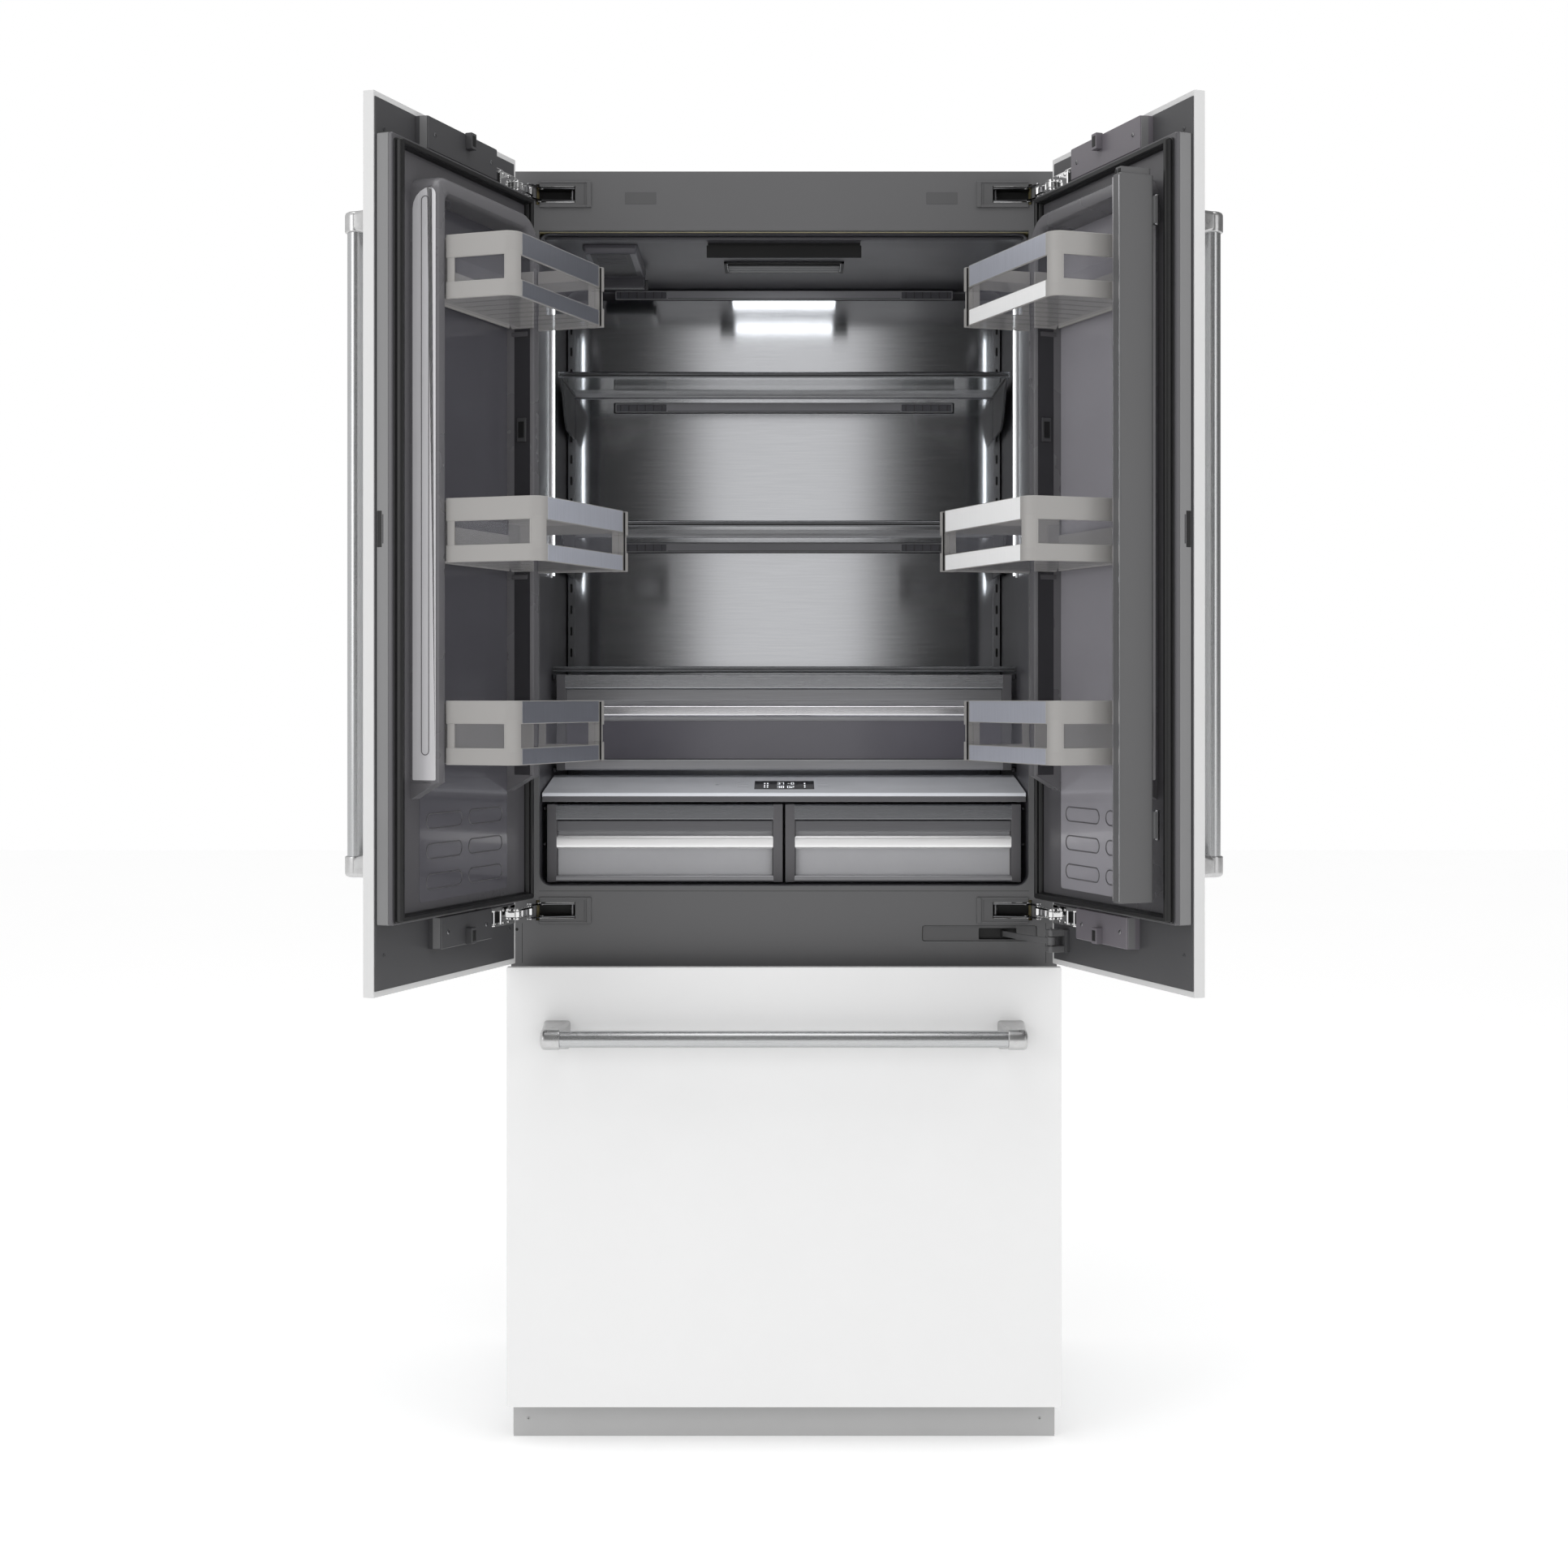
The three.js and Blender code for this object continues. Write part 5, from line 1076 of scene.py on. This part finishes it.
def base_frame():
    p = Piece("base_tray", "cabinet", ["base_frame"], "galvanised_steel")
    p.plate(rounded(-435, 435, 30, 540, 6, 4), "z", 28, 31.5, GALVANISED,
            holes=[circle(x, y, 14, 20) for x in (-260, 75, 260) for y in (120, 260)], bevel=0.6)
    for s in (-1, 1):
        p.block(s * 435, s * 432.8, 31, 539, 30, 45.6, GALVANISED, 0.6)
        p.block(s * 434, s * 421, 31, 539, 43.6, 45.6, GALVANISED, 0.6)
        for y in (70, 500):
            x = s * 398
            foot = [(14.5, 0.02), (16, 1.6), (16, 6.4), (13, 8), (6.2, 8.4), (5.6, 9), (6, 10)]
            p.turned(foot, "z", (x, y), RUBBER)
            p.turned([(6 if k % 2 else 5.3, 9 + k) for k in range(21)], "z", (x, y), STEEL_DARK, 20)
            p.plate(circle(x, y, 9.5, 6), "z", 22, 27.8, STEEL_DARK, bevel=0.6)
    for x in range(-360, 361, 120):
        p.block(x - 30, x + 30, 100, 104, 31, 33, GALVANISED, 0.8)
    p.done()


def compressor():
    p = Piece("compressor_can", "cabinet", ["compressor"], "compressor_black")
    can = [(0.5, 66), (60, 66), (70, 68), (80, 78), (86, 96), (87.8, 126), (87.8, 144), (87.8, 146), (87.8, 150),
           (87.6, 152), (86, 172), (76, 204), (58, 221), (40, 229), (0.5, 232)]
    p.turned(can, "z", (-260, 425), COMPRESSOR, 40)
    p.plate(rounded(-360, -160, 396, 454, 10, 5), "z", 53, 56, GALVANISED, bevel=0.6)
    for x in (-348, -172):
        p.turned([(11, 53), (13, 56), (10, 60), (13, 64), (11, 69.8)], "z", (x, 425), RUBBER, 24)
        p.turned([(5, 69), (5, 70), (3, 70.5)], "z", (x, 425), STEEL_DARK, 14)
    pipe = [(-232, 467, 106), (-215, 470, 106), (-204, 470, 110), (-200, 470, 122), (-200, 470, 250)]
    p.tube(pipe, 4.6, COPPER, 14)
    p.block(-300, -250, 492, 511, 110, 160, BLACK, 4)
    p.done()


def condenser():
    p = Piece("condenser_coil", "cabinet", ["condenser_unit"], "aluminium_fins")
    p.plate(rounded(335, 515, 60, 260, 6, 4), "x", 62, 88, BLACK, holes=[circle(425, 160, 78, 40)], bevel=1.2)
    for y in (346, 501):
        p.block(88, 330, y, y + 3, 62, 68, GALVANISED, 0.5)
    for k in range(46):
        x = 101 + k * 5
        p.block(x, x + 0.8, 346, 504, 64, 249, ALU, 0.1)
    for z in (85, 120, 155, 190, 225):
        for y in (375, 425, 475):
            p.tube([(99, y, z), (330, y, z)], 4.5, COPPER, 12)
    p.done()
    q = Piece("fan_rotor", "condenser_fan", ["condenser_fan"], "dark_plastic")
    q.turned([(14, 65.2), (19, 66.4), (20, 70), (20, 82), (18, 84.8)], "x", (425, 160), BLACK, 28)
    for i in range(5):
        t = TURN * i / 5
        loops = []
        for k in range(9):
            r = 17 + 55 * k / 8
            pitch = 0.62 - 0.3 * k / 8
            chord = 13 + 3.5 * math.sin(math.pi * k / 8)
            ring = []
            for u, v in rounded(-chord, chord, -0.9, 0.9, 0.85, 2):
                xx = 75 + u * math.sin(pitch) + v * math.cos(pitch)
                across = u * math.cos(pitch) - v * math.sin(pitch)
                ring.append((xx, 425 + across * math.cos(t) - r * math.sin(t),
                             160 + across * math.sin(t) + r * math.cos(t)))
            loops.append(ring)
        q.loft(loops, BACKING)
    q.done()


def machine_cover():
    p = Piece("machine_cover_sheet", "cabinet", ["machine_cover"], "galvanised_steel")
    rows, columns = range(90, 300, 24), (-330, -110, 110, 330)
    slots = [rounded(x - 90, x + 90, z, z + 8, 3.8, 4) for z in rows for x in columns]
    p.plate(rounded(-440, 440, 49, 330, 5, 4), "y", 547.1, 548.2, GALVANISED, holes=slots, bevel=0.15)
    for z in rows:
        for x in columns:
            p.block(x - 88, x + 88, 548, 548.9, z + 8.4, z + 9.6, GALVANISED, 0.3)
    for x in (-430, -220, 0, 220, 430):
        for z in (60, 320):
            p.screw(x, 547.9, z, "y", 1, STEEL_DARK, 3)
    p.done()


def evaporator():
    p = Piece("evaporator_coil", "cabinet", ["freezer_evaporator"], "aluminium_fins")
    for k in range(81):
        x = -298 + k * 7.4
        p.block(x, x + 0.8, 447, 473, 382, 698, ALU, 0.1)
    for z in range(400, 690, 40):
        p.tube([(-299, 460, z), (299, 460, z)], 4.2, ALU, 12)
    for x in (-300, 298):
        p.block(x, x + 2, 446, 474, 380, 700, GALVANISED, 0.4)
    p.done()


# ---- build ----
for side in SIDES:
    body, place = f"{side}_door", door_place(side)
    panel(f"{side}_door_panel", body, -451, -2, 781, 2091, place)
    mounting_plate(side)
    inner_door(side)
    gasket(f"{side}_door_gasket", body, -437, -10, 888.5, 2022, place)
    door_handle(side)
    crisper(side)
    for level in BINS:
        door_bin(side, level)
    for level in HINGES:
        hinge(side, level)
panel("freezer_panel", "freezer_drawer", -451, 451, 61, 776)
gasket("freezer_gasket", "freezer_drawer", -432, 432, 104, 746, None)
for make in (mullion_flap, cable_arm, outer_cabinet, face_frame, fridge_liner, freezer_liner, rear_wall,
             interior_lights, filter_housing, control_panel, deli_cover, deli_drawer, freezer_door, freezer_boxes,
             freezer_handle, toe_kick, base_frame, compressor, condenser, machine_cover, evaporator):
    make()
for name, top in SHELVES.items():
    shelf(name, top)
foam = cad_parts["cabinet_foam"]
foam.data.materials.clear()
foam.data.materials.append(FOAM)


# ---- camera, floor and light ----
camera = bpy.data.cameras.new("camera")
camera.lens = 50.85
camera.sensor_width = 36
camera.shift_y = -0.0549
camera.clip_end = 60
eye = bpy.data.objects.new("camera", camera)
eye.location = (0, -3.66, 1.214)
eye.rotation_euler = (math.pi / 2, 0, 0)
scene = bpy.context.scene
scene.collection.objects.link(eye)
scene.camera = eye

floor_bm = bmesh.new()
bmesh.ops.create_grid(floor_bm, x_segments=8, y_segments=8, size=14)
floor_mesh = bpy.data.meshes.new("floor")
floor_bm.to_mesh(floor_mesh)
floor_bm.free()
floor = bpy.data.objects.new("floor", floor_mesh)
scene.collection.objects.link(floor)
floor_mesh.materials.append(material("studio_floor", "E6E6E6", 0.9, vary=0.004, scale=0.6, fine=40, bump=0.01,
                                     Emission_Color=(1, 1, 1, 1), Emission_Strength=0.4))


def area(name, where, aim, size, power):
    light = bpy.data.lights.new(name, "AREA")
    light.shape = "RECTANGLE"
    light.size, light.size_y = size
    light.energy = power
    o = bpy.data.objects.new(name, light)
    o.location = where
    o.rotation_euler = (Vector(aim) - Vector(where)).to_track_quat("-Z", "Y").to_euler()
    scene.collection.objects.link(o)


area("overhead", (0, -0.9, 4.2), (0, -0.2, 1.0), (3.2, 2.2), 34)
area("front_left", (-3.4, -3.6, 2.4), (0, 0, 1.1), (1.8, 2.6), 30)
area("front_right", (3.6, -3.4, 2.0), (0, 0, 1.1), (1.4, 2.4), 16)

# the room seen by reflections: bright to the left, dim to the right, a narrow window behind the camera
world = bpy.data.worlds.new("studio")
scene.world = world
world.use_nodes = True
sky = world.node_tree
sky.nodes.clear()


def maths(operation, a, b=0.5, clamp=False):
    node = add(sky, "Math")
    node.operation = operation
    node.use_clamp = clamp
    for socket, value in zip(node.inputs, (a, b)):
        if isinstance(value, bpy.types.NodeSocket):
            sky.links.new(value, socket)
        else:
            socket.default_value = value
    return node.outputs[0]


def mixed(factor, first, second):
    node = add(sky, "MixShader")
    for socket, value in zip(node.inputs, (factor, first.outputs[0], second.outputs[0])):
        sky.links.new(value, socket)
    return node


# the ratio x / |y| places a direction across the room, whatever its height
split = add(sky, "SeparateXYZ", Vector=add(sky, "TexCoord").outputs["Generated"])
across = maths("DIVIDE", split.outputs["X"], maths("ADD", maths("ABSOLUTE", split.outputs["Y"]), 0.001))
across = maths("ADD", maths("MULTIPLY", across, 0.25), 0.5, clamp=True)
room = add(sky, "ValToRGB", Fac=across)
steps = room.color_ramp.elements
steps.remove(steps[-1])
for i, (at, shade) in enumerate(((0.0, 0.85), (0.25, 0.8), (0.40, 0.5), (0.46, 0.05), (0.4870, 0.04), (0.4920, 0.9),
                                 (0.5080, 0.9), (0.5130, 0.04), (0.55, 0.05), (0.62, 0.3), (0.8, 0.3), (1.0, 0.2))):
    step = steps[0] if i == 0 else steps.new(at)
    step.position = at
    step.color = (shade, shade, shade, 1)
path = add(sky, "LightPath")
white = (1, 1, 1, 1)
glossy = add(sky, "Background", Color=room.outputs["Color"], Strength=1.0)
seen = mixed(path.outputs["Is Glossy Ray"], add(sky, "Background", Color=white, Strength=0.74), glossy)
seen = mixed(path.outputs["Is Camera Ray"], seen, add(sky, "Background", Color=white, Strength=1.0))
add(sky, "OutputWorld", Surface=seen.outputs[0])
scene.view_settings.view_transform = "Standard"
